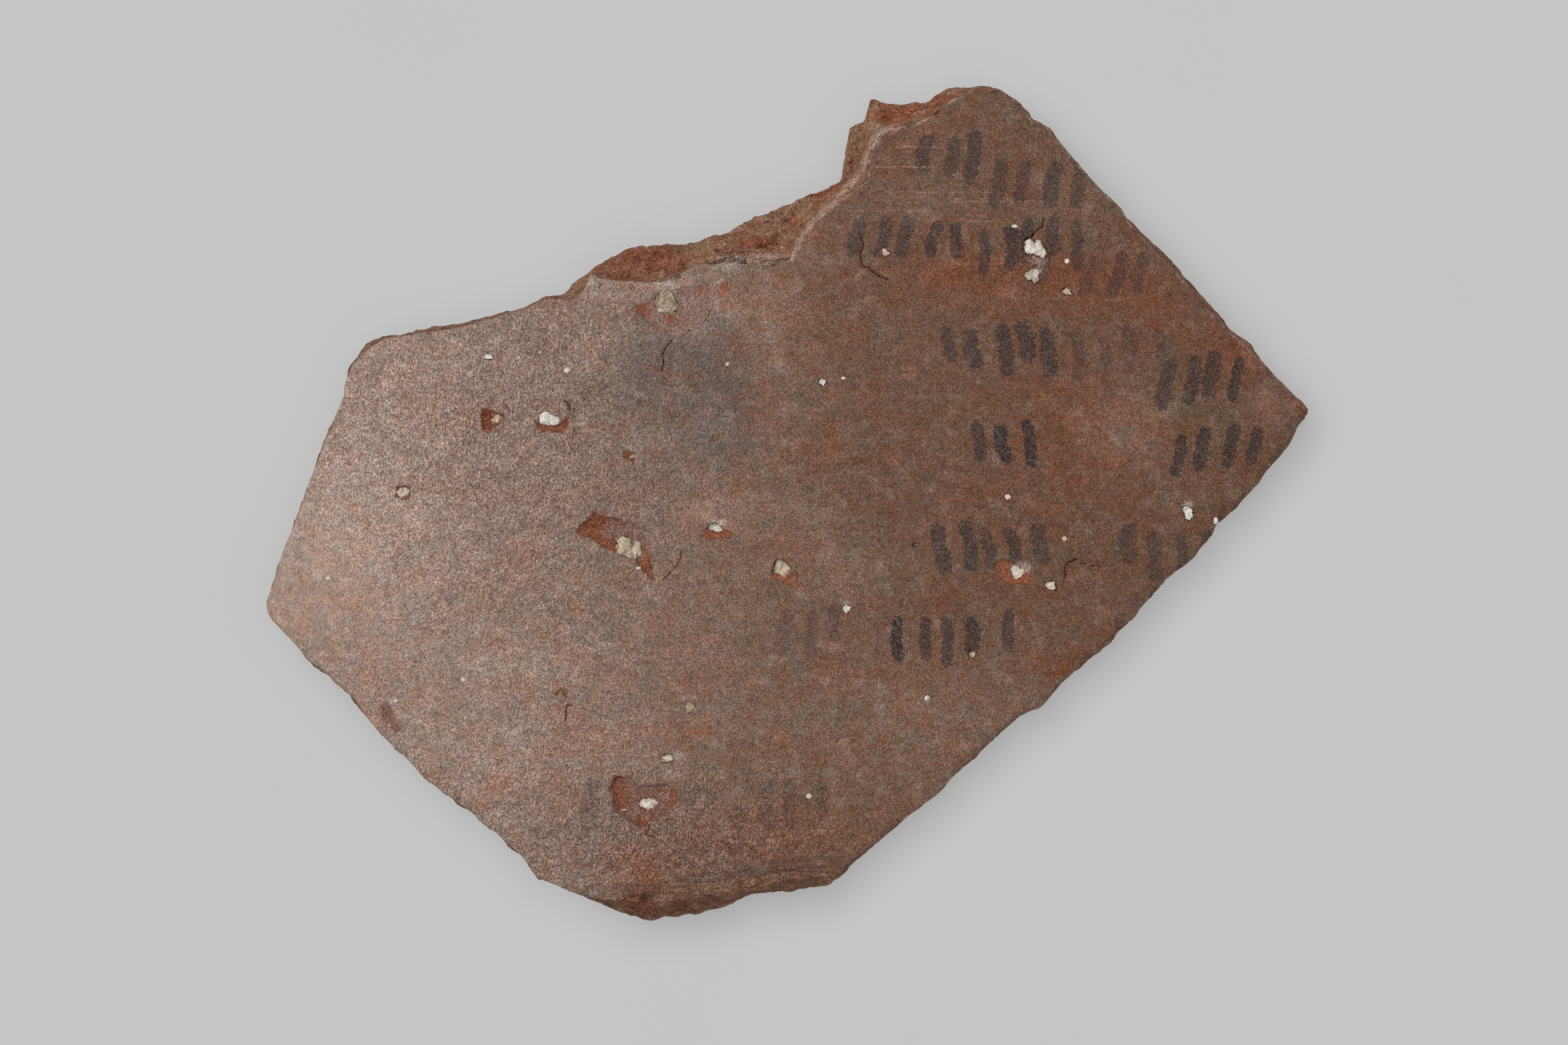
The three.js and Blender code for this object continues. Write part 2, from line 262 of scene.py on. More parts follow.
def add_lamp():
    """A broad lamp to the upper left, which gives its share of a plain level of light."""
    lamp = bpy.data.lights.new("softbox", "SUN")
    lamp.energy = math.pi * LAMP_SHARE / math.cos(LAMP_FROM_ABOVE)
    lamp.angle = LAMP_SPREAD
    holder = bpy.data.objects.new("softbox", lamp)
    holder.rotation_euler = (0, LAMP_FROM_ABOVE, LAMP_SIDE)
    bpy.context.scene.collection.objects.link(holder)


def add_world():
    """Even light from all round for the rest of the level; the camera sees it as table grey."""
    world = bpy.data.worlds.new("studio")
    bpy.context.scene.world = world
    world.use_nodes = True
    tree = world.node_tree
    tree.nodes.clear()
    rays = add(tree, "ShaderNodeLightPath").outputs
    seen = calculate(tree, "MAXIMUM", rays["Is Camera Ray"], rays["Is Glossy Ray"])
    fill = (1 - LAMP_SHARE,) * 3 + (1.0,)
    colour = mixed(tree, seen, fill, TABLE_GREY)
    background = add(tree, "ShaderNodeBackground", {"Color": colour, "Strength": 1.0})
    output = add(tree, "ShaderNodeOutputWorld")
    tree.links.new(background.outputs[0], output.inputs[0])


table = add_table()
add_lamp()
add_world()
bpy.context.scene.view_settings.view_transform = "Standard"
print("lamp gives", LAMP_SHARE, "of the light")

# %% [markdown]
# ## The jar's skin, before it was broken
#
# The clay body comes from the frame as a few thousand large triangles, too coarse to carve. It
# is remeshed into small even squares, as clay is in a sculpting program. First the pits and
# seats of its skin are filled, because they are carved afresh with more detail. For that, the
# script has to know where the smooth skin of the jar lay. A smooth surface fitted through the
# top of the sherd gives it, and the fit leaves out the places that turn out to lie in pits.

# %% Fit the jar's skin
WELD = 0.001 * MM
FIT_DEGREE = 4
FIT_ROUNDS = 5
FIT_SLACK = 0.03
OUTER, INNER = 0.8, -0.6
HALF_WIDTH = (CAD_HIGH.x - CAD_LOW.x) / 2 / MM


def welded_body():
    """A copy of the frame's clay body with its loose triangles joined."""
    form = bmesh.new()
    form.from_mesh(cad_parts[CLAY_NODE].data)
    bmesh.ops.remove_doubles(form, verts=form.verts, dist=WELD)
    return form


def terms(plan):
    """The terms of a smooth surface at places in plan."""
    x, y = plan.T / HALF_WIDTH
    powers = [(i, j) for i in range(FIT_DEGREE + 1) for j in range(FIT_DEGREE + 1 - i)]
    return np.stack([x**i * y**j for i, j in powers], axis=1)


def fit_skin(form):
    """The weights of the smooth surface through the highest of the corners that face up."""
    tops = [face.verts for face in form.faces if face.normal.z > OUTER]
    points = np.array([vert.co for corners in tops for vert in corners]) / MM
    for _ in range(FIT_ROUNDS):
        weights = np.linalg.lstsq(terms(points[:, :2]), points[:, 2], rcond=None)[0]
        below = terms(points[:, :2]) @ weights - points[:, 2]
        points = points[below < FIT_SLACK + max(0.0, np.percentile(below, 75))]
    return weights


body = welded_body()
SKIN = fit_skin(body)


def skin_height(plan):
    """Height of the jar's smooth skin over places in plan, in millimetres."""
    return terms(plan) @ SKIN


print("skin at the middle:", round(float(skin_height(np.zeros((1, 2)))[0]), 2), "mm up")

# %% Find the edge of the skin
FLUSH = 0.08


def touching(edges):
    """Edges sorted into groups that hang together."""
    left = set(edges)
    groups = []
    while left:
        group = [left.pop()]
        for edge in group:
            near = [other for vert in edge.verts for other in vert.link_edges if other in left]
            left.difference_update(near)
            group.extend(dict.fromkeys(near))
        groups.append(group)
    return groups


def skin_outline(form):
    """The edge of the skin in plan, as straight stretches, each with its two ends."""
    rims = []
    for edge in form.edges:
        ends = np.array([vert.co for vert in edge.verts]) / MM
        flush = np.abs(ends[:, 2] - skin_height(ends[:, :2])).max() < FLUSH
        slopes = [face.normal.z for face in edge.link_faces]
        if flush and min(slopes) < OUTER <= max(slopes):
            rims.append(edge)
    longest = max(touching(rims), key=len)
    return np.array([[vert.co.xy / MM for vert in edge.verts] for edge in longest])


def distance_from(start, end, plan):
    """Distance in millimetres from places in plan to the straight stretch between two points."""
    along = end - start
    share = np.clip((plan - start) @ along / (along @ along), 0, 1)
    return np.hypot(*(plan - start - share[:, None] * along).T)


def inside_by(stretches, plan):
    """How far places in plan lie inside a closed outline, negative outside, in millimetres."""
    nearest = np.full(len(plan), np.inf)
    inside = np.zeros(len(plan), bool)
    for start, end in stretches:
        nearest = np.minimum(nearest, distance_from(start, end, plan))
        along = end - start
        spans = (start[1] > plan[:, 1]) != (end[1] > plan[:, 1])
        if along[1]:
            crossing = start[0] + (plan[:, 1] - start[1]) / along[1] * along[0]
            inside ^= spans & (plan[:, 0] < crossing)
    return np.where(inside, nearest, -nearest)


EDGE = skin_outline(body)
ends, uses = np.unique(EDGE.reshape(-1, 2).round(3), axis=0, return_counts=True)
print("skin's edge:", len(EDGE), "stretches; loose ends:", int(np.sum(uses % 2)))

# %% Fill the pits and remesh the body
VOXEL = 0.4 * MM
FILL_STEP = 1.0
FILL_INSET = 0.3
FILL_DEPTH = 3.0
FILL_SLOPE = 0.9
UNDERSIDE_SHARE = 0.12


def add_filling(form):
    """Adds a lens of clay just under the smooth skin, which closes every pit and seat."""
    filling = bmesh.new()
    size = math.ceil(HALF_WIDTH) * MM
    steps = int(2 * size / MM / FILL_STEP)
    bmesh.ops.create_grid(filling, x_segments=steps, y_segments=steps, size=size)
    plan = np.array([vert.co.xy for vert in filling.verts]) / MM
    inset = inside_by(EDGE, plan)
    outside = [vert for vert, far in zip(filling.verts, inset) if far < FILL_INSET]
    for vert, z in zip(filling.verts, skin_height(plan)):
        vert.co.z = z * MM
    bmesh.ops.delete(filling, geom=outside, context="VERTS")
    made = bmesh.ops.extrude_face_region(filling, geom=filling.faces[:])
    lower = [part for part in made["geom"] if isinstance(part, bmesh.types.BMVert)]
    inset = inside_by(EDGE, np.array([vert.co.xy for vert in lower]) / MM)
    for vert, far in zip(lower, inset):
        vert.co.z -= min(FILL_DEPTH, FILL_SLOPE * far) * MM
    bmesh.ops.recalc_face_normals(filling, faces=filling.faces)
    mesh = bpy.data.meshes.new("filling")
    filling.to_mesh(mesh)
    filling.free()
    form.from_mesh(mesh)
    bpy.data.meshes.remove(mesh)


def piece_from(form, name):
    """A new object made from a bmesh, which is used up."""
    mesh = bpy.data.meshes.new(name)
    form.to_mesh(mesh)
    form.free()
    piece = bpy.data.objects.new(name, mesh)
    bpy.context.scene.collection.objects.link(piece)
    return piece


def apply_modifiers(piece):
    """Gives the piece the mesh that its modifiers make, and takes them off."""
    graph = bpy.context.evaluated_depsgraph_get()
    mesh = bpy.data.meshes.new_from_object(piece.evaluated_get(graph))
    piece.modifiers.clear()
    piece.data = mesh


def rows(mesh, what, scale=1.0):
    """A property of a mesh's vertices, one row for each vertex."""
    values = np.empty(len(mesh.vertices) * 3)
    mesh.vertices.foreach_get(what, values)
    return values.reshape(-1, 3) * scale


def triangles(mesh):
    """How many triangles a mesh has."""
    mesh.calc_loop_triangles()
    return len(mesh.loop_triangles)


add_filling(body)
sherd = piece_from(body, "sherd")
remesh = sherd.modifiers.new("even squares", "REMESH")
remesh.mode = "VOXEL"
remesh.voxel_size = VOXEL
apply_modifiers(sherd)
print("even mesh:", triangles(sherd.data), "triangles")

# %% Merge faces on the underside, which needs few
underside = rows(sherd.data, "normal")[:, 2] < INNER
below = sherd.vertex_groups.new(name="underside")
below.add([int(i) for i in np.flatnonzero(underside)], 1.0, "REPLACE")
thin = sherd.modifiers.new("fewer faces below", "DECIMATE")
thin.ratio = 1 - float(underside.mean()) * (1 - UNDERSIDE_SHARE)
thin.vertex_group = below.name
apply_modifiers(sherd)
sherd.vertex_groups.clear()
print("after merging:", triangles(sherd.data), "triangles")

# %% [markdown]
# ## What happened to the skin
#
# Lime in the clay swells when damp and pushes flakes off the skin, so most grains sit in a
# shallow pit. Cracks run out from some of them. Along the bottom the skin has split off in
# thin layers. Each pit is an outline with a depth, each crack a line, and noise bends them all,
# so that no rim is smooth. Together they give one depth for any place in plan: the relief.

# %% Noise, and distances to lines


def rough(places, size, octaves=3, seed=0):
    """Random heights from about -1 to 1 at places, in lumps of a size in millimetres."""
    flat = np.zeros((len(places), 3))
    flat[:, : places.shape[1]] = places / size
    flat += np.array([17.3, 5.1, 29.7]) * seed
    return np.array([noise.fractal(Vector(place), 0.9, 2.1, octaves) for place in flat])


def soft_step(low, high, values):
    """0 below low and 1 above high, with a soft slope between."""
    share = np.clip((values - low) / (high - low), 0, 1)
    return share * share * (3 - 2 * share)


def distance_to(line, plan):
    """Distance in millimetres from places in plan to the nearest stretch of a line."""
    gaps = [distance_from(start, end, plan) for start, end in zip(line[:-1], line[1:])]
    return np.min(gaps, axis=0)


def close_to(line, plan, margin):
    """Which places in plan lie in the box round a line, widened by a margin."""
    low, high = line.min(0) - margin, line.max(0) + margin
    return np.flatnonzero(((plan > low) & (plan < high)).all(1))


def closed(corners):
    """The stretches of the outline through some corners, back to the first."""
    return np.stack([corners, np.roll(corners, -1, axis=0)], axis=1)


def oval(px, py, width, height, corners=14):
    """Corners of an oval, given in pixels."""
    turns = [2 * math.pi * i / corners for i in range(corners)]
    return path(*[(px + width / 2 * math.cos(t), py + height / 2 * math.sin(t)) for t in turns])


sample = rough(np.random.default_rng(1).random((999, 2)) * 90, 3)
print("noise from", round(float(sample.min()), 2), "to", round(float(sample.max()), 2))

# %% Pits where the skin has flaked off: outline, depth in millimetres, how red the clay is
WIDE_PITS = [
    (path((949, 458), (967, 487), (992, 505), (1021, 512), (1048, 497), (1067, 484), (1074, 454),
          (1098, 436), (1100, 421), (1070, 424), (1040, 428), (1015, 432), (990, 440)), 0.4, 0.22),
    (path((994, 475), (1004, 473), (1016, 475), (1018, 484), (1007, 489), (997, 485)), 0.75, 1.0),
    (path((863, 794), (895, 766), (923, 776), (964, 788), (986, 802), (990, 820), (979, 842),
          (984, 872), (967, 857), (949, 840), (913, 825), (882, 812)), 0.75, 0.3),
    (path((960, 838), (968, 842), (976, 850), (981, 862), (984, 874), (974, 866), (965, 852)), 1.0, 1.0),
    (path((914, 1180), (926, 1163), (949, 1160), (961, 1176), (992, 1171), (1019, 1180),
          (1020, 1196), (1009, 1213), (992, 1226), (962, 1240), (942, 1231), (919, 1208)), 0.8, 0.35),
    (path((566, 1056), (582, 1048), (592, 1062), (600, 1078), (606, 1096), (594, 1100),
          (582, 1086), (570, 1072)), 0.3, 0.4),
    (path((724, 612), (733, 609), (740, 615), (752, 618), (763, 622), (757, 636), (750, 645),
          (733, 651), (724, 647), (721, 634)), 0.75, 0.8),
    (path((801, 622), (808, 632), (816, 632), (836, 634), (846, 628), (856, 625), (858, 634),
          (847, 650), (832, 653), (815, 648), (803, 637)), 0.45, 0.9),
    (path((589, 740), (592, 730), (600, 725), (612, 726), (618, 724), (621, 733), (621, 745),
          (614, 752), (604, 753), (594, 750)), 0.3, 0.45),
    (path((932, 680), (938, 673), (947, 672), (955, 682), (958, 690), (955, 698), (949, 701),
          (943, 693), (934, 689)), 0.4, 0.9),
    (path((1052, 786), (1062, 790), (1075, 793), (1088, 791), (1101, 799), (1094, 811),
          (1068, 813), (1055, 806)), 0.4, 1.0),
    (path((1152, 852), (1170, 858), (1184, 858), (1194, 846), (1201, 858), (1203, 878), (1193, 884),
          (1178, 876), (1155, 870)), 0.4, 0.7),
    (path((1488, 843), (1501, 838), (1517, 843), (1536, 846), (1546, 858), (1543, 875),
          (1524, 879), (1506, 875), (1490, 861)), 0.4, 1.0),
    (path((1562, 873), (1568, 868), (1578, 868), (1584, 875), (1584, 884), (1577, 888),
          (1567, 886), (1561, 880)), 0.3, 0.8),
    (path((1364, 812), (1372, 811), (1380, 812), (1379, 819), (1374, 827), (1368, 826)), 0.3, 1.0),
    (path((1314, 377), (1320, 370), (1333, 371), (1342, 378), (1340, 389), (1320, 392)), 0.25, 1.0),
    (path((1224, 572), (1231, 569), (1241, 571), (1247, 577), (1240, 584), (1228, 582)), 0.3, 0.9),
    (path((722, 534), (728, 531), (742, 532), (747, 537), (743, 544), (728, 547)), 0.3, 0.7),
    (path((991, 1137), (1002, 1139), (1008, 1146), (999, 1150), (990, 1146)), 0.2, 0.6),
    (path((1303, 546), (1308, 552), (1322, 550), (1330, 554), (1341, 565), (1334, 564),
          (1326, 559), (1312, 560), (1305, 557)), 0.3, 1.0),
    (oval(1037, 1057, 24, 26), 0.2, 0.5),
    (oval(1269, 913, 17, 15), 0.2, 0.5),
    (oval(1780, 771, 20, 26), 0.2, 0.3),
    (oval(1821, 782, 14, 18), 0.4, 0.9),
    (oval(1264, 569, 20, 14), 0.3, 0.9),
    (oval(1509, 746, 15, 13), 0.25, 0.9),
    (oval(1388, 1045, 14, 14), 0.2, 0.7),
    (oval(1213, 1191, 16, 14), 0.25, 0.9),
    (oval(997, 557, 12, 10), 0.3, 0.9),
    (oval(1600, 440, 22, 18), 0.2, 0.5),
    (oval(1556, 392, 60, 90), 0.15, 0.2),
]
RIM_BEND = 0.28
RIM_WIDTH = 0.35
BOWL_WIDTH = 2.2
STEEP_SHARE, GENTLE_SHARE = 0.55, 0.45
FLOOR_ROUGHNESS = 0.3
FLOOR_LUMPS = 0.7


def bent(plan, reach=RIM_BEND, size=1.1, seed=1):
    """Places moved about a little by noise, so that a shape measured at them has a ragged rim."""
    return plan + reach * np.stack([rough(plan, size, 4, seed), rough(plan, size, 4, seed + 1)], 1)


def pit_depth(plan):
    """Depth of the pits at places in plan, and how red the clay is there."""
    ragged = bent(plan)
    uneven = rough(plan, FLOOR_LUMPS, 3, 3)
    depth = np.zeros(len(plan))
    redness = np.zeros(len(plan))
    for corners, deepest, red in WIDE_PITS:
        near = close_to(corners, ragged, RIM_BEND + RIM_WIDTH)
        inset = inside_by(closed(corners), ragged[near])
        steep = STEEP_SHARE * soft_step(0, RIM_WIDTH, inset)
        bowl = steep + GENTLE_SHARE * soft_step(0, BOWL_WIDTH, inset)
        floor = deepest * bowl * (1 + FLOOR_ROUGHNESS * uneven[near])
        deeper = floor > depth[near]
        depth[near[deeper]] = floor[deeper]
        redness[near[deeper]] = red
    return depth, redness


print(len(WIDE_PITS), "pits")

# %% Cracks: line, width and depth in millimetres
CRACKS = [
    (path((1289, 352), (1295, 370), (1291, 380), (1291, 393), (1293, 402), (1303, 404),
          (1315, 415), (1331, 422)), 0.08, 0.25),
    (path((1303, 404), (1308, 393)), 0.05, 0.18),
    (path((1009, 512), (999, 524), (995, 534), (997, 548), (993, 560)), 0.07, 0.25),
    (path((1548, 357), (1550, 351), (1556, 347), (1563, 341), (1565, 329)), 0.07, 0.3),
    (path((1593, 870), (1595, 861), (1594, 852), (1600, 843), (1613, 839)), 0.08, 0.25),
    (path((1619, 845), (1626, 846)), 0.07, 0.2),
    (path((1633, 848), (1638, 847)), 0.06, 0.2),
    (path((1644, 850), (1648, 852)), 0.04, 0.18),
    (path((1315, 502), (1313, 515), (1310, 528)), 0.05, 0.14),
    (path((1023, 827), (1021, 842), (1007, 860), (997, 869)), 0.06, 0.15),
    (path((849, 603), (857, 609), (857, 617)), 0.12, 0.25),
    (path((876, 597), (879, 602)), 0.08, 0.16),
    (path((709, 729), (716, 738), (718, 753)), 0.07, 0.12),
    (path((716, 738), (722, 731)), 0.06, 0.12),
    (path((975, 1235), (972, 1250), (985, 1253)), 0.06, 0.2),
    (path((835, 1041), (840, 1035), (846, 1034), (852, 1043)), 0.07, 0.18),
    (path((862, 1057), (853, 1056), (851, 1066), (851, 1080)), 0.08, 0.22),
    (path((757, 602), (764, 610), (766, 621)), 0.05, 0.16),
    (path((974, 838), (980, 856), (983, 872)), 0.06, 0.16),
]
CRACK_FLOOR = 0.3


def crack_share(plan):
    """How close places in plan are to the middle of a crack, from 0 to 1, and its depth there.

    A crack is deepest out to CRACK_FLOOR of its width, and shallower over one width more.
    """
    ragged = bent(plan, reach=0.1, size=0.5, seed=5)
    share = np.zeros(len(plan))
    depth = np.zeros(len(plan))
    for line, width, deepest in CRACKS:
        near = close_to(line, ragged, 2 * width)
        close = np.clip(1 + CRACK_FLOOR - distance_to(line, ragged[near]) / width, 0, 1)
        share[near] = np.maximum(share[near], close)
        depth[near] = np.maximum(depth[near], deepest * close)
    return share, depth


print(len(CRACKS), "cracks")

# %% Thin layers split off along the edge: middle, half width and half height in pixels, strength
LAYERED_BLOTS = [
    (1170, 1318, 130, 34, 1.2), (1020, 1345, 130, 24, 1.1), (1120, 392, 90, 26, 0.9),
]
LAYER_REACH = 2.6
LAYER_DROP = 1.15
LAYER_COUNT = 4
LAYER_WANDER = 0.6
RISER_FROM = 0.6
CREST_AT, CREST_HALF = 0.5, 0.22


def blots(blot_list, plan):
    """How strong a kind of blot is at places in plan, from 0 to 1."""
    total = np.zeros(len(plan))
    for px, py, half_width, half_height, strength in blot_list:
        away = (plan - spot(px, py)) / (np.array([half_width, half_height]) * PIXEL_MM)
        total += strength * np.exp(-np.sum(away**2, axis=1))
    return np.clip(total, 0, 1)


def layered_depth(plan, inset):
    """Steps down to the edge where layers have split off, and how near a step's crest is."""
    zone = blots(LAYERED_BLOTS, plan)
    wander = LAYER_WANDER * rough(plan * [0.5, 1], 1.6, 4, 7)
    down = LAYER_COUNT * zone * (1 - np.clip((inset + wander) / LAYER_REACH, 0, 1))
    part = down - np.floor(down)
    steps = np.floor(down) + soft_step(RISER_FROM, 1, part)
    near_crest = np.clip(1 - np.abs(part - CREST_AT) / CREST_HALF, 0, 1)
    return LAYER_DROP * steps / LAYER_COUNT, zone * (down > 0.1) * near_crest


print("each layer is", round(LAYER_DROP / LAYER_COUNT, 2), "mm thick")

# %% Chips along the edge
PALE_EDGE = path((1187, 390), (1191, 378), (1200, 360), (1209, 347), (1219, 334), (1233, 320),
                 (1251, 306), (1260, 295), (1273, 280), (1286, 265), (1297, 249), (1304, 226),
                 (1312, 208), (1322, 197), (1336, 192))
CHIP_REACH = 1.0
CHIP_DEPTH = 0.45
CHIP_SPACING = 2.0
WORN_RIM, WORN_RIM_WIDTH = 0.1, 0.35
CALM_END = (-50, -20)


def chip_depth(plan, inset):
    """Depth of the small flakes missing from the sherd's edge, fewer at its left end."""
    where = soft_step(0.05, 0.6, rough(plan, CHIP_SPACING, 3, 9))
    where *= soft_step(*CALM_END, plan[:, 0])
    where *= soft_step(0.5, 2.5, distance_to(PALE_EDGE, plan))
    reach = CHIP_REACH * (0.25 + where)
    worn = WORN_RIM * (1 - soft_step(0, WORN_RIM_WIDTH, inset))
    return worn + CHIP_DEPTH * where * (1 - soft_step(0, 1, inset / reach))


print("pale edge:", round(float(np.hypot(*np.diff(PALE_EDGE, axis=0).T).sum()), 1), "mm long")

# %% Lime grains: outline, then how cream, how greenish and how dirty each one is
GRAINS = [
    (path((1537, 360), (1542, 358), (1549, 363), (1551, 369), (1552, 361), (1559, 363), (1561, 369),
          (1568, 374), (1568, 383), (1563, 388), (1555, 387), (1551, 382), (1540, 381), (1536, 374)),
     0.25, 0.0, 0.1),
    (path((1544, 408), (1552, 405), (1562, 409), (1557, 415), (1556, 422), (1552, 429), (1546, 423),
          (1534, 417)), 0.3, 0.25, 0.4),
    (path((1592, 436), (1598, 433), (1603, 437), (1605, 443), (1596, 444), (1591, 440)), 0.8, 0, 0.2),
    (path((1321, 373), (1326, 374), (1333, 382), (1329, 386), (1325, 385)), 0.2, 0.0, 0.3),
    (path((985, 452), (990, 445), (995, 440), (999, 433), (1004, 436), (1010, 444), (1013, 452),
          (1020, 459), (1016, 468), (1004, 471), (991, 471), (988, 461)), 0.4, 0.25, 0.5),
    (path((726, 538), (729, 532), (738, 533), (742, 538), (737, 540), (729, 540)), 0.1, 0.0, 0.05),
    (path((738, 631), (742, 624), (752, 621), (753, 626), (750, 637), (742, 635)), 0.5, 0.05, 0.25),
    (path((808, 625), (817, 618), (824, 618), (829, 623), (842, 627), (838, 637), (829, 640),
          (813, 636)), 0.2, 0.0, 0.0),
    (path((595, 738), (602, 732), (611, 731), (618, 736), (614, 744), (602, 747)), 0.45, 0.05, 0.2),
    (path((945, 686), (947, 681), (954, 680), (957, 685), (953, 690), (947, 690)), 0.9, 0.1, 0.3),
    (path((1227, 577), (1230, 571), (1236, 571), (1239, 576), (1234, 580)), 0.1, 0.0, 0.1),
    (path((926, 820), (929, 811), (938, 805), (946, 809), (950, 814), (955, 810), (962, 817),
          (962, 831), (955, 836), (951, 839), (944, 837), (938, 832), (929, 829)), 0.6, 0.3, 0.2),
    (path((1062, 788), (1067, 784), (1078, 786), (1087, 795), (1083, 799), (1072, 798), (1064, 794)),
     0.0, 0.0, 0.1),
    (path((1159, 848), (1165, 838), (1176, 840), (1187, 852), (1183, 860), (1177, 865),
          (1160, 859)), 1.0, 0.0, 0.2),
    (path((1263, 911), (1268, 906), (1276, 910), (1273, 915), (1268, 918)), 0.0, 0.0, 0.1),
    (path((1451, 981), (1455, 975), (1462, 979), (1459, 985), (1453, 985)), 0.5, 0.2, 0.3),
    (path((1564, 879), (1569, 873), (1579, 872), (1581, 884), (1571, 885)), 0.3, 0.0, 0.05),
    (path((1512, 853), (1516, 846), (1521, 846), (1526, 851), (1534, 854), (1532, 861), (1523, 869),
          (1518, 868)), 0.3, 0.0, 0.05),
    (path((1773, 765), (1779, 760), (1786, 764), (1787, 773), (1782, 782), (1776, 777)), 0, 0, 0.05),
    (path((1367, 817), (1371, 815), (1377, 816), (1371, 822)), 0.8, 0.0, 0.4),
    (path((995, 1132), (1000, 1129), (1009, 1130), (1011, 1137), (1003, 1141), (996, 1138)),
     0.5, 0.0, 0.1),
    (path((961, 1202), (965, 1195), (975, 1193), (986, 1196), (990, 1202), (983, 1208),
          (972, 1212), (963, 1208)), 0.3, 0.0, 0.15),
    (path((1027, 1053), (1032, 1048), (1039, 1053), (1045, 1061), (1040, 1066), (1030, 1066)),
     0.5, 0.1, 0.55),
]
GRAIN_OUTLINES = [outline for outline, *_ in GRAINS]
GRAIN_BOXES = [np.array(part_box(node)) / MM for node in GRAIN_NODES]
print(len(GRAINS), "outlines for", len(GRAIN_BOXES), "grains")

# %% Seats round the grains, and the skin's own unevenness
SEAT_SHARE = 0.6
SEAT_WALL = 0.12
SEAT_GAP = 0.08
BOWL_DEPTH = 0.55
BOWLS = [
    (1035, 1078, 28, 18, 1.0), (713, 736, 14, 14, 0.4), (853, 1052, 16, 16, 0.5),
    (870, 700, 30, 30, 0.3), (560, 610, 40, 30, 0.3), (1620, 845, 30, 14, 0.3),
]
SKIN_LOST = 0.06
WAVE_SIZE, WAVE_HEIGHT = 9.0, 0.05
BUMP_SIZE, BUMP_HEIGHT, WORN_BUMP_HEIGHT = 0.8, 0.015, 0.035


def seat_depth(plan):
    """Depth of the clay under each grain, and of the gap that has opened round it in places."""
    ragged = bent(plan, reach=0.06, size=0.6, seed=11)
    gap = SEAT_GAP * soft_step(0.0, 0.4, rough(plan, 1.2, 2, 12))
    seat = np.zeros(len(plan))
    for corners, (low, high) in zip(GRAIN_OUTLINES, GRAIN_BOXES):
        near = close_to(corners, plan, 1)
        beyond = -inside_by(closed(corners), ragged[near]) - gap[near]
        clay_top = high[2] - SEAT_SHARE * (high[2] - low[2])
        sunk = float(skin_height((low + high)[None, :2] / 2)[0]) - clay_top
        seat[near] = np.maximum(seat[near], sunk * (1 - soft_step(-SEAT_WALL, 0, beyond)))
    return seat


def uneven_depth(plan):
    """The skin's own gentle unevenness, and its sandy bumps where the slip has worn off."""
    bowls = BOWL_DEPTH * blots(BOWLS, plan)
    waves = rough(plan * [1.0, 2.5], WAVE_SIZE, 3, 13)
    bumps = rough(plan * [1.6, 1.0], BUMP_SIZE, 3, 15)
    worn = soft_step(20, -25, plan[:, 0])
    bump_height = BUMP_HEIGHT + WORN_BUMP_HEIGHT * worn
    return SKIN_LOST + bowls + WAVE_HEIGHT * waves + bump_height * bumps


def relief(plan):
    """How far the skin lies below the jar's smooth skin at places in plan."""
    carved = np.maximum(pit_depth(plan)[0], seat_depth(plan))
    inset = inside_by(EDGE, plan)
    carved = np.maximum(carved, chip_depth(plan, inset)) + layered_depth(plan, inset)[0]
    return np.maximum(0, uneven_depth(plan) + carved + crack_share(plan)[1])


at_middle = relief(np.zeros((1, 2)))
print("relief at the middle:", round(float(at_middle[0]), 2), "mm")

# %% [markdown]
# ## Carving
#
# Small forms need small faces. The mesh is cut finer round the pits, the grains and the cracks
# and in the breaks that face up, and stays as it is elsewhere. Then each point of the skin goes
# down by the relief. A break is different: broken clay is rough all over, in crumbs and in thin
# layers that run along the wall, so its points move in along their own normals.

# %% Open breaks: middle, half width and half height in pixels, strength
TOP_BREAKS = [
    (960, 395, 120, 50, 1.0), (1150, 345, 120, 50, 1.0), (1285, 230, 50, 90, 1.0),
    (1370, 165, 90, 30, 1.0),
]
BOTTOM_BREAKS = [
    (990, 1370, 130, 26, 1.0), (1180, 1345, 120, 30, 1.0),
]
print(len(TOP_BREAKS) + len(BOTTOM_BREAKS), "stretches of break face up")

# %% Finer faces where there is detail
RIM_BAND = 0.5
FINE_BAND = 0.22
SKIN_UNDER = 0.5
BREAK_INSET, BREAK_UNDER = 0.4, 7


def near_detail(plan, band):
    """Which places in plan lie within a band of the rim of a pit, a grain or a crack."""
    outlines = [corners for corners, *_ in WIDE_PITS] + GRAIN_OUTLINES
    rims = [(np.vstack([corners, corners[:1]]), band) for corners in outlines]
    rims += [(line, band + width / 2) for line, width, _ in CRACKS]
    near = (blots(LAYERED_BLOTS, plan) > 0.35) & (band == RIM_BAND)
    for line, within in rims:
        some = close_to(line, plan, within)
        near[some] |= distance_to(line, plan[some]) < within
    return near


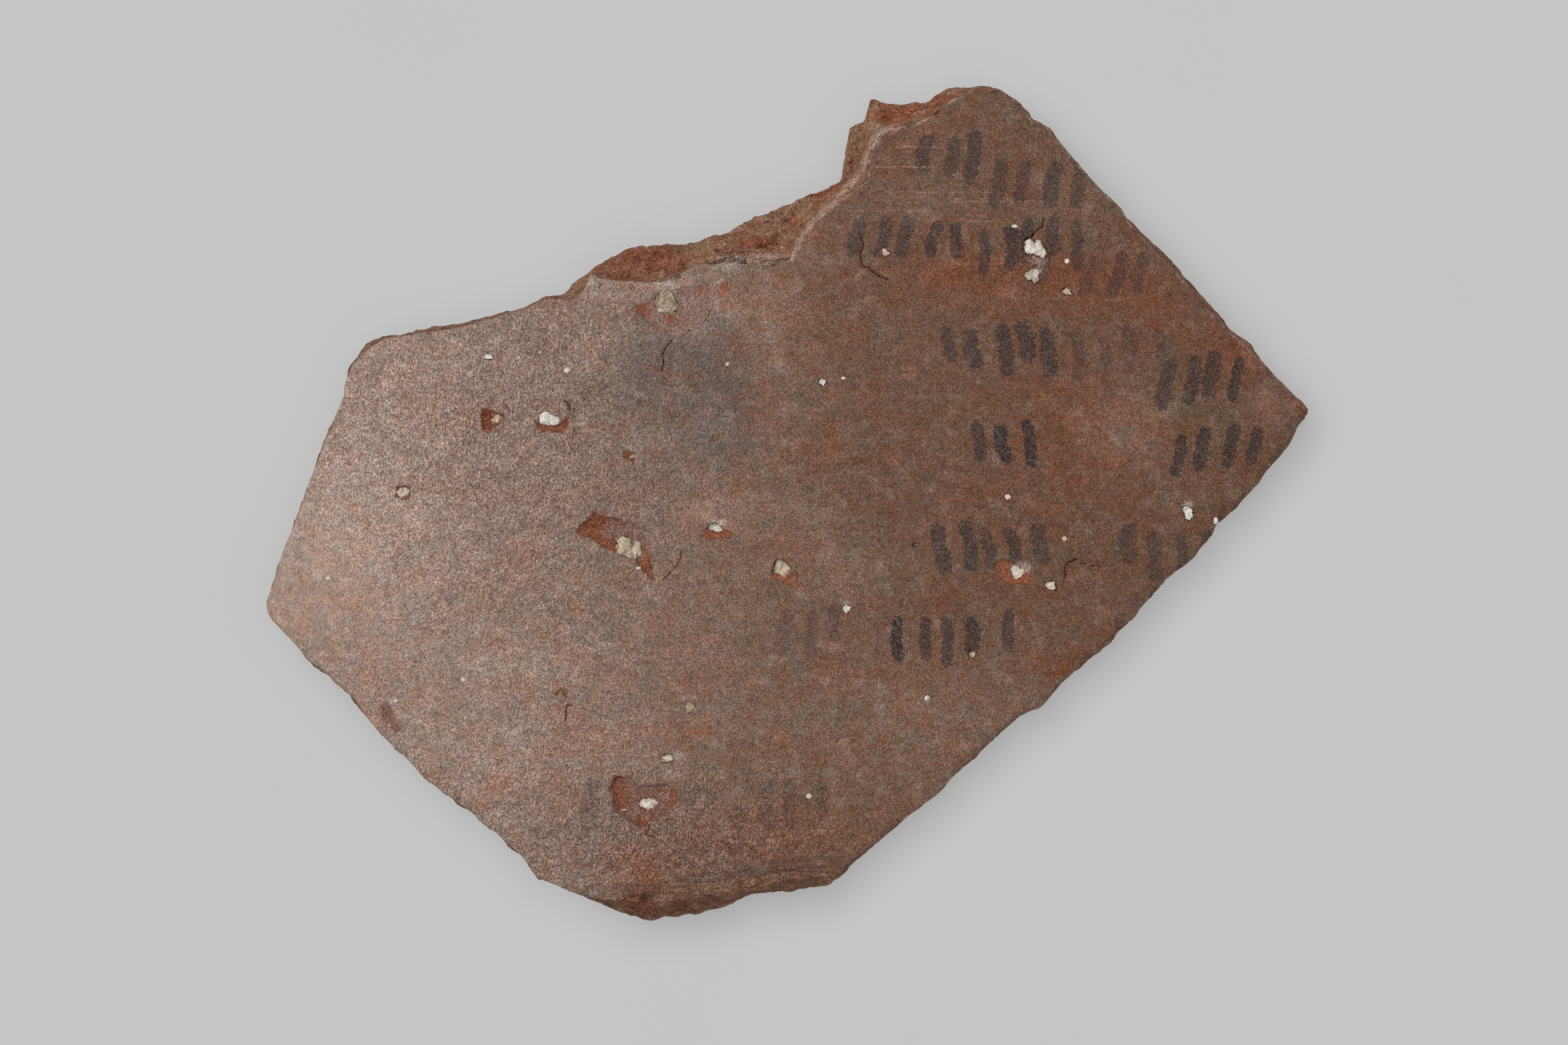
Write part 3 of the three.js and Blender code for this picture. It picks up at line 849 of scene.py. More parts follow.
def refine(piece, band):
    """Halves the faces of the skin that lie near detail."""
    form = bmesh.new()
    form.from_mesh(piece.data)
    places = np.array([vert.co for vert in form.verts]) / MM
    plan = places[:, :2]
    under = skin_height(plan) - places[:, 2]
    wanted = near_detail(plan, band) & (under < SKIN_UNDER)
    if band == RIM_BAND:
        is_break = (inside_by(EDGE, plan) < BREAK_INSET) & (under < BREAK_UNDER)
        wanted |= (blots(TOP_BREAKS, plan) > 0.4) & is_break
    edges = [edge for edge in form.edges if all(wanted[vert.index] for vert in edge.verts)]
    bmesh.ops.subdivide_edges(form, edges=edges, cuts=1, use_grid_fill=True)
    form.to_mesh(piece.data)
    form.free()


refine(sherd, RIM_BAND)
refine(sherd, FINE_BAND)
print("refined:", triangles(sherd.data), "triangles")

# %% Dents in the breaks: middle, half width and half height in pixels, depth in millimetres
DENTS = [
    (1291, 212, 7, 18, 1.0), (1281, 250, 6, 14, 1.0), (1272, 222, 4, 20, 0.3),
    (1150, 322, 18, 6, 0.5), (1175, 336, 16, 7, 0.5), (1232, 300, 14, 6, 0.5),
    (1165, 380, 14, 8, 0.4), (1040, 365, 26, 7, 0.4), (985, 385, 20, 8, 0.3),
    (1190, 330, 12, 5, 0.4),
]
print(len(DENTS), "dents")

# %% Corners drawn out or in: place, way to the right and down, and reach, all in pixels
NUDGES = [
    (1308, 158, -1, -9, 13), (1290, 176, 3, 3, 10), (1277, 193, -4, -3, 9), (1266, 262, 1, 3, 8),
    (1330, 156, 0, 2, 12), (1366, 160, 0, -7, 20), (1424, 135, 0, -5, 15),
]
print(len(NUDGES), "nudges")

# %% Carve the skin and roughen the breaks
SKIN_SLACK = 0.2
SKIN_MARGIN = 0.05
CALM_RIM = 1.8
BREAK_REACH = 3.0
CRUMBS = ((3.2, 0.24), (1.4, 0.24), (0.7, 0.12))
CLEAN_SHARE = 0.6
OPEN_SHARE = 1.7
EATEN_BEFORE = 0.14
LAYER_PITCH = 1.3
LAYER_DEPTH = 0.16
LAYER_BEND, LAYER_BEND_SIZE = 0.8, 5.0


def break_depth(places, under):
    """How far a break is eaten in at places in space, by crumbs and by layers along the wall."""
    depth = np.full(len(places), EATEN_BEFORE)
    for seed, (size, step) in enumerate(CRUMBS):
        depth += step * rough(places, size, 3, 21 + seed)
    bend = LAYER_BEND * rough(places, LAYER_BEND_SIZE, 2, 25)
    layers = np.abs((under / LAYER_PITCH + bend) % 1 - 0.5) * 2
    return depth + LAYER_DEPTH * (layers - 0.5) * 2


def nudged(plan):
    """Places in plan moved a little, where a corner of the sherd is sharper than in the frame."""
    moved = plan.copy()
    for px, py, right, down, reach in NUDGES:
        away = np.hypot(*(plan - spot(px, py)).T) / (reach * PIXEL_MM)
        moved += np.exp(-(away**2))[:, None] * np.array([right, -down]) * PIXEL_MM
    return moved


def openness(plan):
    """How far a break lies open to the eye at places in plan, from 0 to 1."""
    return blots(TOP_BREAKS + BOTTOM_BREAKS, plan)


def carve(piece):
    """Carves the piece, and gives back where its points now are, in millimetres."""
    places = rows(piece.data, "co", 1 / MM)
    facing = rows(piece.data, "normal")
    inset = inside_by(EDGE, places[:, :2])
    under = skin_height(places[:, :2]) - places[:, 2]
    is_skin = (inset > -SKIN_MARGIN) & (under < SKIN_SLACK)
    is_break = ~is_skin & (facing[:, 2] > INNER)
    open_here = openness(places[:, :2]) * soft_step(0.1, 0.6, facing[:, 2])
    share = CLEAN_SHARE + (OPEN_SHARE - CLEAN_SHARE) * open_here[is_break]
    depth = share * break_depth(places[is_break], under[is_break])
    from_skin = np.hypot(np.maximum(0, under), np.maximum(0, -inset))[is_break]
    eaten = depth * soft_step(0, CALM_RIM, from_skin)
    places[is_break] -= facing[is_break] * eaten[:, None]
    places[is_break, 2] -= blots(DENTS, places[is_break, :2])
    places[is_break, :2] = nudged(places[is_break, :2])
    top = is_skin | (is_break & (under < BREAK_REACH))
    plan = places[top, :2]
    places[top, 2] = np.minimum(places[top, 2], skin_height(plan) - relief(plan))
    low, high = np.array(CAD_LOW) / MM, np.array(CAD_HIGH) / MM
    places = np.clip(places, low, high)
    piece.data.vertices.foreach_set("co", (places * MM).ravel())
    piece.data.shade_smooth()
    piece.data.update()
    return places


places = carve(sherd)
print("carved; top at", round(float(places[:, 2].max()), 2), "mm")

# %% [markdown]
# ## Stains, dust, ink and painted highlights as values on the mesh
#
# Each kind of stain is a value at every point of the mesh, and the material turns values into
# colour. Stains are soft blots, placed one by one. The material breaks their edges up with
# noise, so they needn't be exact here.

# %% Pale and worn skin: middle, half width and half height in pixels, strength
PALE_FROM, PALE_TO = 1400, 380
MOST_PALE, MOST_WORN = 0.83, 0.8
PALE_BLOTS = [
    (540, 790, 110, 120, 0.36), (900, 1120, 110, 80, 0.08), (900, 520, 70, 50, 0.18),
    (660, 600, 80, 70, 0.1), (780, 1000, 70, 60, 0.13), (880, 690, 90, 90, 0.07),
    (1140, 480, 60, 60, 0.16), (1100, 770, 120, 30, 0.12), (1400, 1080, 190, 110, 0.16),
    (1180, 1240, 200, 60, 0.1), (1270, 850, 90, 50, 0.12), (1690, 640, 60, 60, 0.2),
    (760, 1130, 70, 50, 0.16), (1030, 650, 70, 50, 0.12), (1140, 645, 50, 50, 0.08),
    (1905, 610, 40, 30, 0.14), (1610, 300, 50, 50, 0.08), (1390, 300, 60, 50, 0.08),
    (1000, 425, 80, 22, 0.18), (1060, 470, 40, 40, 0.2), (1010, 500, 40, 14, 0.25),
    (930, 430, 60, 30, 0.12), (1130, 385, 60, 14, 0.25),
]
WORN_BLOTS = [
    (1080, 1255, 260, 80, 0.7), (700, 640, 120, 90, 0.2), (1000, 1330, 120, 40, 0.3),
    (880, 700, 150, 210, 0.3), (880, 500, 120, 60, 0.2),
]
CALM_BLOTS = [
    (440, 890, 120, 140, 0.9), (620, 1030, 150, 120, 0.3),
]
CALM_IS_LESS_WORN = 0.5
CALM_IS_LESS_PALE = 0.16
print(len(PALE_BLOTS), "pale blots,", len(WORN_BLOTS), "worn and", len(CALM_BLOTS), "calm ones")

# %% Wiping lines: left end, right end and height in pixels, strength
WIPE_LINES = [
    (1306, 1406, 252, 0.9), (1340, 1420, 222, 0.5), (1326, 1515, 290, 0.4), (1420, 1570, 304, 0.45),
    (1262, 1400, 318, 0.3), (1440, 1505, 333, 0.4), (1400, 1540, 398, 0.35), (1560, 1700, 450, 0.3),
]
print(len(WIPE_LINES), "wiping lines")

# %% Stains: middle, half width and half height in pixels, strength
STAINS = {
    "rusty": [
        (1100, 1240, 260, 90, 0.8), (950, 1300, 70, 40, 0.6), (800, 1140, 100, 60, 0.3),
        (690, 620, 130, 80, 0.4), (1500, 400, 220, 40, 0.4), (1600, 800, 160, 120, 0.3),
        (1828, 505, 30, 24, 0.9), (1795, 548, 60, 12, 0.8), (1870, 690, 30, 40, 0.7),
        (1590, 1005, 26, 20, 0.8),
    ],
    "smoky": [
        (1045, 575, 85, 80, 1.0), (975, 540, 70, 40, 0.7), (1065, 500, 60, 34, 0.6),
        (930, 600, 50, 40, 0.35), (1110, 650, 60, 50, 0.6), (1030, 655, 60, 50, 0.3),
        (1000, 700, 90, 40, 0.3), (1160, 900, 80, 40, 0.25), (660, 890, 70, 70, 0.35),
    ],
    "ruddy": [
        (1500, 405, 210, 28, 0.8), (1500, 450, 180, 40, 0.55), (1020, 960, 60, 60, 0.35),
        (1730, 470, 90, 60, 0.5), (1248, 670, 10, 45, 0.8), (1420, 800, 160, 60, 0.3),
        (950, 1300, 60, 40, 0.5), (750, 1170, 26, 22, 0.7), (1590, 1005, 14, 12, 0.9),
        (1955, 612, 12, 12, 0.8), (560, 1085, 40, 30, 0.5), (640, 610, 80, 90, 0.15),
        (720, 660, 90, 60, 0.15), (660, 880, 60, 60, 0.35), (971, 1305, 14, 13, 1.0),
        (989, 556, 8, 8, 1.0), (1063, 1083, 9, 16, 0.9), (1045, 1096, 20, 7, 0.9),
        (855, 1057, 9, 5, 1.0), (842, 1038, 10, 6, 0.8), (800, 840, 60, 60, 0.3),
        (1335, 175, 40, 25, 0.7), (1610, 960, 80, 60, 0.4), (1620, 690, 170, 90, 0.5),
        (1560, 590, 130, 60, 0.3), (1180, 1255, 200, 60, 0.6), (1020, 1350, 90, 30, 0.8),
        (1860, 530, 60, 60, 0.7),
    ],
    "olive": [
        (1760, 620, 90, 60, 0.5), (1420, 620, 90, 60, 0.4), (1620, 990, 60, 50, 0.3),
        (1000, 1300, 60, 50, 0.3), (1230, 1240, 160, 60, 0.6), (1020, 1350, 110, 30, 1.0),
        (1180, 1335, 60, 12, 0.8),
    ],
    "chalk": [
        (1078, 784, 18, 6, 0.9), (1531, 852, 15, 10, 0.9), (1780, 757, 10, 7, 0.8),
        (1268, 903, 8, 5, 0.6), (1017, 1133, 11, 13, 0.6), (950, 675, 10, 5, 0.6),
        (958, 685, 4, 7, 0.6), (747, 628, 11, 11, 0.5), (966, 795, 28, 12, 0.35),
        (982, 815, 8, 20, 0.5), (1003, 436, 14, 9, 0.8), (1015, 427, 100, 9, 0.3),
        (1075, 450, 9, 32, 0.4), (1000, 1190, 20, 14, 0.35), (1040, 1046, 14, 8, 0.4),
        # On this row, the blot at 1075, 402 is partly pale clay, partly painted light over the shade of
        # the dents below the break's rim.
        (1145, 386, 32, 6, 0.6), (1102, 400, 20, 22, 0.35), (1075, 402, 30, 9, 0.3),
        (1360, 190, 50, 12, 0.3), (1420, 165, 30, 14, 0.15), (1316, 208, 10, 24, 0.4),
        (889, 425, 8, 20, 0.5), (1612, 437, 8, 14, 0.3),
    ],
    "break red": [
        (935, 395, 60, 28, 0.9), (1000, 395, 50, 22, 0.6), (1150, 366, 45, 11, 0.8),
        (1230, 284, 36, 9, 0.8), (1350, 170, 36, 16, 0.9), (1410, 150, 26, 14, 0.8),
        (1310, 168, 12, 12, 0.5), (960, 1357, 36, 14, 0.9), (1110, 1352, 36, 12, 0.5),
    ],
}
print(sum(len(kind) for kind in STAINS.values()), "blots in", len(STAINS), "kinds of stain")

# %% Fresh clay in the pits, where the dust has fallen out
FRESH_BLOTS = [
    (884, 800, 20, 30, 0.9), (905, 822, 40, 9, 0.8), (900, 775, 26, 8, 0.6),
    (974, 858, 12, 22, 1.0), (1087, 434, 12, 18, 0.5), (1060, 432, 20, 8, 0.4),
    (962, 466, 14, 14, 0.6), (980, 498, 12, 8, 0.6), (1010, 484, 14, 7, 0.3),
    (928, 1190, 16, 34, 0.4), (1012, 1200, 10, 26, 0.5), (975, 1234, 24, 10, 0.5),
]
print(len(FRESH_BLOTS), "patches of fresh clay")

# %% [markdown]
# ## Ink
#
# Ink on such sherds is lamp black, drawn with a reed pen and faded since. The marks here are plain
# tally strokes, as wide as a reed draws. A stroke is a line with a half width. The mesh stores how
# near each point lies to it, and the material frays its edge with noise.

# %% Tally strokes: left end in pixels, how many, how strong
TALLY_ROWS = [
    (1392, 212, 3, 0.7), (1500, 248, 4, 0.65), (1290, 335, 4, 0.75), (1432, 345, 6, 0.8),
    (1640, 392, 3, 0.5), (1418, 500, 5, 0.8), (1612, 508, 4, 0.35), (1752, 545, 4, 0.8),
    (1462, 640, 3, 0.9), (1770, 655, 4, 0.8), (1405, 795, 5, 0.8), (1690, 800, 4, 0.6),
    (1180, 915, 3, 0.35), (1345, 925, 5, 0.9), (890, 1180, 2, 0.3), (1150, 1180, 3, 0.3),
]
STROKE_STEP = 38
STROKE_LENGTH = 52
STROKE_HALF = 11
STROKE_REACH = 2


def tally_strokes():
    """Short strokes in rows, each a line in plan with a half width and a strength."""
    draw = random.Random(4)
    strokes = []
    for px, py, count, strength in TALLY_ROWS:
        lean = draw.uniform(-14, 10)
        for i in range(count):
            x = px + i * STROKE_STEP * draw.uniform(0.9, 1.1)
            y = py + draw.uniform(-8, 8)
            length = STROKE_LENGTH * draw.uniform(0.7, 1.15)
            sag = draw.uniform(-5, 5)
            line = path((x, y), (x + lean / 2 + sag, y + length / 2), (x + lean, y + length))
            half = STROKE_HALF * draw.uniform(0.75, 1.1) * PIXEL_MM
            strokes.append((line, half, strength * draw.uniform(0.8, 1.15)))
    return strokes


def ink_cover(plan):
    """Nearness to the nearest stroke, 1 in its middle and 0.5 at its edge, and its strength."""
    nearness = np.zeros(len(plan))
    strength = np.zeros(len(plan))
    for line, half, dark in tally_strokes():
        near = close_to(line, plan, STROKE_REACH * half)
        value = 1 - distance_to(line, plan[near]) / (STROKE_REACH * half)
        closer = value > nearness[near]
        nearness[near[closer]] = value[closer]
        strength[near[closer]] = dark
    return nearness, strength


print(len(tally_strokes()), "strokes")

# %% Write the values onto the sherd
FAR_OFF = 5.0
EDGE_BAND = 1.5
SKIN_OVER_RIM = 0.5
SKIN_DOWN_WALL = 0.4
RIM_DROP = 0.2
# How much less pale the skin's rims are than the pale edge; the rims' pale is a painted highlight.
RIM_HIGHLIGHT_LESS = 0.16


def store(mesh, name, values):
    """Keeps one value for each vertex of a mesh."""
    layer = mesh.attributes.new(name, "FLOAT", "POINT")
    layer.data.foreach_set("value", np.asarray(values, dtype=np.float32))


def wiped(plan):
    """How far up from the nearest wiping line places in plan are, and how clear the line is."""
    offset = np.full(len(plan), FAR_OFF)
    clear = np.zeros(len(plan))
    for left, right, py, strength in WIPE_LINES:
        start, end = path((left, py), (right, py))
        from_ends = np.minimum(plan[:, 0] - start[0], end[0] - plan[:, 0])
        up = plan[:, 1] - start[1]
        here = (from_ends > 0) & (np.abs(up) < np.abs(offset))
        offset[here] = up[here]
        clear[here] = strength * soft_step(0, 1, from_ends[here])
    return offset, clear * (1 - soft_step(0.4, 0.7, np.abs(offset)))


def store_edges(mesh, plan, under, on_top):
    """Stores how far points lie past the skin's edge, and where the pale crests and rims are."""
    inset = inside_by(EDGE, plan)
    down = np.maximum(0, under - SKIN_DOWN_WALL)
    past = np.where(inset > EDGE_BAND, 0, np.hypot(np.minimum(0, inset), down))
    store(mesh, "past edge", past - SKIN_OVER_RIM * (1 - openness(plan)))
    # crest: where the material paints pale dust and a highlight on the lip of each step.
    store(mesh, "crest", on_top * layered_depth(plan, inset)[1])
    # Every rim of the skin gets a pale band, a painted highlight that lightens the shade on its rounded
    # edge.
    from_rim = np.hypot(inset, np.maximum(0, under - RIM_DROP)) + RIM_HIGHLIGHT_LESS
    from_pale = np.minimum(distance_to(PALE_EDGE, plan), from_rim)
    store(mesh, "from pale edge", np.minimum(FAR_OFF, from_pale))


def store_marks(mesh, plan, on_top):
    """Stores the pits, cracks, ink and wiping lines."""
    depth, redness = pit_depth(plan)
    store(mesh, "pit", on_top * soft_step(0.04, 0.2, depth))
    store(mesh, "pit red", redness + blots(FRESH_BLOTS, plan))
    store(mesh, "crack", on_top * crack_share(plan)[0])
    nearness, strength = ink_cover(bent(plan, reach=0.12, size=0.9, seed=31))
    store(mesh, "ink", on_top * nearness)
    store(mesh, "ink strength", strength)
    offset, clear = wiped(plan)
    store(mesh, "wipe", offset)
    store(mesh, "wipe clear", on_top * clear)


def store_stains(mesh, plan):
    """Stores how pale and how worn the skin is, more so to the left, and the kinds of stain."""
    right, left = spot(PALE_FROM, 0)[0], spot(PALE_TO, 0)[0]
    across = soft_step(0, 1, (plan[:, 0] - right) / (left - right))
    calm = blots(CALM_BLOTS, plan)
    worn = MOST_WORN * across + blots(WORN_BLOTS, plan) - CALM_IS_LESS_WORN * calm
    pale = MOST_PALE * across + blots(PALE_BLOTS, plan) - CALM_IS_LESS_PALE * calm
    store(mesh, "calm", calm)
    store(mesh, "worn", np.clip(worn, 0, 1))
    store(mesh, "pale", pale)
    for name, kind in STAINS.items():
        store(mesh, name, blots(kind, plan))


def store_values(mesh, places):
    """Stores all that the clay's material needs to know about each point."""
    plan = places[:, :2]
    under = skin_height(plan) - places[:, 2]
    inner = rows(mesh, "normal")[:, 2] < INNER
    on_top = (under < BREAK_REACH) & ~inner
    store(mesh, "inner", inner)
    store_edges(mesh, plan, under, on_top)
    store_marks(mesh, plan, on_top)
    store_stains(mesh, plan)


store_values(sherd.data, places)
print("stored", len(sherd.data.attributes), "attributes")

# %% Tell the table how far it is from the sherd


def from_sherd(mesh):
    """Distance in plan from each point of a mesh to the sherd, in millimetres."""
    tree = kdtree.KDTree(len(places))
    for number, (x, y, _) in enumerate(places):
        tree.insert((x, y, 0), number)
    tree.balance()
    flat = rows(mesh, "co", 1 / MM) * [1, 1, 0]
    return [tree.find(place)[2] for place in flat]


store(table.data, "from sherd", from_sherd(table.data))
print("table has", len(table.data.vertices), "points")

# %% [markdown]
# ## Patterns shared by clay and lime
#
# Both are gritty. One node group makes the grit, as a height for the bump and a tone for the
# colour. Another scatters specks, such as temper in the clay or dirt on the lime. A third lays
# sand grains side by side and gives each its own tone and hue.

# %% Node groups
SAND_SIZE = 0.075


def millimetres(tree):
    """Places on the piece in millimetres."""
    place = add(tree, "ShaderNodeTexCoord").outputs["Object"]
    return add(tree, "ShaderNodeMapping", {"Vector": place, "Scale": (1 / MM,) * 3}).outputs[0]


def clouds(tree, place, size, detail=2.0, stretch=(1, 1, 1), shift=0.0):
    """Noise from 0 to 1 in lumps of a size in millimetres, longer along an axis if stretched."""
    scale = [1 / (size * side) for side in stretch]
    ends = {"Vector": place, "Scale": scale, "Location": (shift, 2 * shift, -shift)}
    mapped = add(tree, "ShaderNodeMapping", ends).outputs[0]
    texture = add(tree, "ShaderNodeTexNoise", {"Vector": mapped, "Scale": 1.0, "Detail": detail})
    return texture.outputs["Fac"]


def new_group(name, inputs, outputs):
    """A node group with named number or vector inputs and number outputs."""
    tree = bpy.data.node_groups.new(name, "ShaderNodeTree")
    for label, kind in inputs.items():
        tree.interface.new_socket(label, in_out="INPUT", socket_type=kind)
    for label in outputs:
        tree.interface.new_socket(label, in_out="OUTPUT", socket_type="NodeSocketFloat")
    return tree, add(tree, "NodeGroupInput").outputs, add(tree, "NodeGroupOutput").inputs


def grit_group():
    """Grit: a height in millimetres and a tone from 0 to 1, for grains of a given size."""
    sockets = {"Place": "NodeSocketVector", "Size": "NodeSocketFloat"}
    tree, given, made = new_group("grit", sockets, ("Height", "Tone"))
    often = calculate(tree, "DIVIDE", 1.0, given["Size"])
    ends = {"Vector": given["Place"], "Scale": often, "Detail": 2.0, "Roughness": 0.6}
    fine = add(tree, "ShaderNodeTexNoise", ends).outputs["Fac"]
    seldom = times(tree, often, 0.42)
    ends = {"Vector": given["Place"], "Scale": seldom, "Detail": 1.0}
    coarse = add(tree, "ShaderNodeTexNoise", ends).outputs["Fac"]
    both = times_plus(tree, coarse, 1.3, fine)
    height = times(tree, both, given["Size"])
    tree.links.new(height, made["Height"])
    tone = ramp(tree, both, 0.75, 1.55, 0.0, 1.0)
    tree.links.new(tone, made["Tone"])
    return tree


def speck_group():
    """Specks: a mask that is 1 on some small spots, set apart by a spacing in millimetres."""
    names = ("Spacing", "Size", "Share")
    sockets = {"Place": "NodeSocketVector", **dict.fromkeys(names, "NodeSocketFloat")}
    tree, given, made = new_group("specks", sockets, ("Mask",))
    often = calculate(tree, "DIVIDE", 1.0, given["Spacing"])
    cells = add(tree, "ShaderNodeTexVoronoi", {"Vector": given["Place"], "Scale": often})
    away = times(tree, cells.outputs["Distance"], given["Spacing"])
    spread = add(tree, "ShaderNodeSeparateColor", {"Color": cells.outputs["Color"]}).outputs
    reach = times(tree, given["Size"], plus(tree, spread["Green"], 0.4))
    close = ramp(tree, calculate(tree, "DIVIDE", away, reach), 1.0, 0.7)
    chosen = calculate(tree, "LESS_THAN", spread["Red"], given["Share"])
    tree.links.new(times(tree, close, chosen), made["Mask"])
    return tree


def sand_group():
    """Sand grains side by side: a random tone and a random hue from 0 to 1 for each of them."""
    sockets = {"Place": "NodeSocketVector", "Size": "NodeSocketFloat"}
    tree, given, made = new_group("sand", sockets, ("Tone", "Hue"))
    often = calculate(tree, "DIVIDE", 1.0, given["Size"])
    cells = add(tree, "ShaderNodeTexVoronoi", {"Vector": given["Place"], "Scale": often})
    spread = add(tree, "ShaderNodeSeparateColor", {"Color": cells.outputs["Color"]}).outputs
    tree.links.new(spread["Red"], made["Tone"])
    tree.links.new(spread["Blue"], made["Hue"])
    return tree


GRIT = grit_group()
SPECKS = speck_group()
SAND = sand_group()
print("groups:", [group.name for group in (GRIT, SPECKS, SAND)])


def placed(tree, group, place, **values):
    """The outputs of a node group that is put into a material with its values."""
    return add(tree, "ShaderNodeGroup", {"Place": place, **values}, node_tree=group).outputs


def grit(tree, place, size):
    """Height and tone of grit of a size."""
    made = placed(tree, GRIT, place, Size=size)
    return made["Height"], made["Tone"]


def sand(tree, place, size):
    """Tone and hue of sand of a size."""
    made = placed(tree, SAND, place, Size=size)
    return made["Tone"], made["Hue"]


def specks(tree, place, spacing, size, share):
    """A mask of specks."""
    return placed(tree, SPECKS, place, Spacing=spacing, Size=size, Share=share)["Mask"]


def stored(tree, name):
    """A value that the mesh stores."""
    return add(tree, "ShaderNodeAttribute", attribute_name=name).outputs["Fac"]


def tinted(tree, share, colour, factor):
    """A colour multiplied by a factor where the share is 1."""
    return mixed(tree, share, colour, mixed(tree, 1.0, colour, factor, "MULTIPLY"))


# %% [markdown]
# ## The fired clay
#
# The jar was thrown from brown-red clay full of sand. Its skin was wiped with a wet hand, which
# left fine lines round the jar, and it has a pale bloom of salts on one side. Where it flaked,
# the fresher clay below is orange-red, and the breaks show the sandy core. So the material is
# built in layers: three grounds, for skin, break and inner face, then stains, dust and ink, and
# painted shade and highlights.

# %% Grounds
SKIN_BROWN = srgb(126, 97, 81)
PALE_SKIN = srgb(208, 182, 169)
PIT_RED = srgb(162, 99, 73)
PIT_DUST = srgb(158, 128, 116)
BREAK_BROWN = srgb(156, 116, 90)
BREAK_RED = srgb(152, 91, 66)
INNER_BROWN = srgb(132, 104, 88)
WIPE_PINK = srgb(178, 140, 120)
EDGE_PALE = srgb(194, 162, 144)
GREY_IN_GRAIN = 0.4
BLOTCHES = ((3.4, 7.0, 1.0), (1.3, 8.0, 1.0), (0.45, 8.5, 0.7))
SAND_GRAIN, RUSTY_SAND = 0.13, 0.22
CLUMP, COARSE_GRAIN, FINE_GRAIN = 0.28, 0.15, 0.055
HOLLOW_WIDTH, RIDGE_WIDTH = 0.13, 0.38
CRAG_WIDTH, LUMP_WIDTH = 1.8, 0.7
PALE_IN_BREAK = 0.12
RED_BLOTCH = (1.04, 0.92, 0.86, 1)
OLIVE_BLOTCH = (0.93, 0.97, 0.94, 1)
BLOTCH_KINDS = ((RED_BLOTCH, 1.4, 0.0), (OLIVE_BLOTCH, 1.0, 20.0))
RUSTY_GRAIN = (1.0, 0.76, 0.6, 1)
print("pale skin is", round(PALE_SKIN[1] / SKIN_BROWN[1], 1), "times as bright as brown skin")


def mottled(tree, place, colour):
    """Blotches of red, olive and lighter clay in several sizes, fainter where the skin is worn.

    Blotches have a size in millimetres, a shift that makes their noise their own, and a strength.
    Each kind has a colour, a stretch along the jar's rim and a shift more.
    """
    slip = times_plus(tree, stored(tree, "worn"), -1.3, 1.5)
    for size, shift, strength in BLOTCHES:
        most = times(tree, slip, strength)
        for tint, longer, more in BLOTCH_KINDS:
            cloud = clouds(tree, place, size, 3.0, stretch=(longer, 1, 1), shift=shift + more)
            share = times(tree, ramp(tree, cloud, 0.45, 0.7), most)
            colour = tinted(tree, share, colour, tint)
    light = ramp(tree, clouds(tree, place, 0.9, 4.0, shift=23.0), 0.3, 0.7, 0.9, 1.1)
    return mixed(tree, 1.0, colour, light, "MULTIPLY")


def wiped_lines(tree, place, colour):
    """Thin pale lines that a wet hand or a pebble left as the jar turned."""
    bend = times_plus(tree, clouds(tree, place, 2.0, 2.0, shift=25.0), 0.3, -0.15)
    away = calculate(tree, "ABSOLUTE", plus(tree, stored(tree, "wipe"), bend))
    line = ramp(tree, away, 0.15, 0.03)
    patchy = ramp(tree, clouds(tree, place, 0.5, 3.0, stretch=(3, 1, 1), shift=26.0), 0.25, 0.6)
    clear = times(tree, patchy, stored(tree, "wipe clear"))
    share = times(tree, line, clear)
    return mixed(tree, share, colour, WIPE_PINK)


def skin_colour(tree, place):
    """Wiped skin: brown with a pale bloom and haze, mottled, with fine lines round the jar."""
    lines = clouds(tree, place, 0.3, 3.0, stretch=(18, 1, 1))
    bloom = ramp(tree, clouds(tree, place, 3.0, 5.0, shift=2.0), 0.25, 0.75, 0.85, 1.15)
    haze = ramp(tree, clouds(tree, place, 1.6, 5.0, shift=4.0), 0.48, 0.75, -0.02, 0.16)
    pale = times_plus(tree, stored(tree, "pale"), bloom, haze)
    colour = mottled(tree, place, mixed(tree, pale, SKIN_BROWN, PALE_SKIN))
    colour = wiped_lines(tree, place, colour)
    return mixed(tree, 1.0, colour, ramp(tree, lines, 0.25, 0.75, 0.94, 1.06), "MULTIPLY")


def grained(tree, colour, tone):
    """A colour made lighter and darker by a tone round 1, while its hue hardly changes."""
    grey = add(tree, "ShaderNodeRGBToBW", {"Color": colour}).outputs[0]
    softer = mixed(tree, GREY_IN_GRAIN, colour, grey)
    change = mixed(tree, 1.0, softer, calculate(tree, "SUBTRACT", tone, 1.0), "MULTIPLY")
    return mixed(tree, 1.0, colour, change, "ADD")


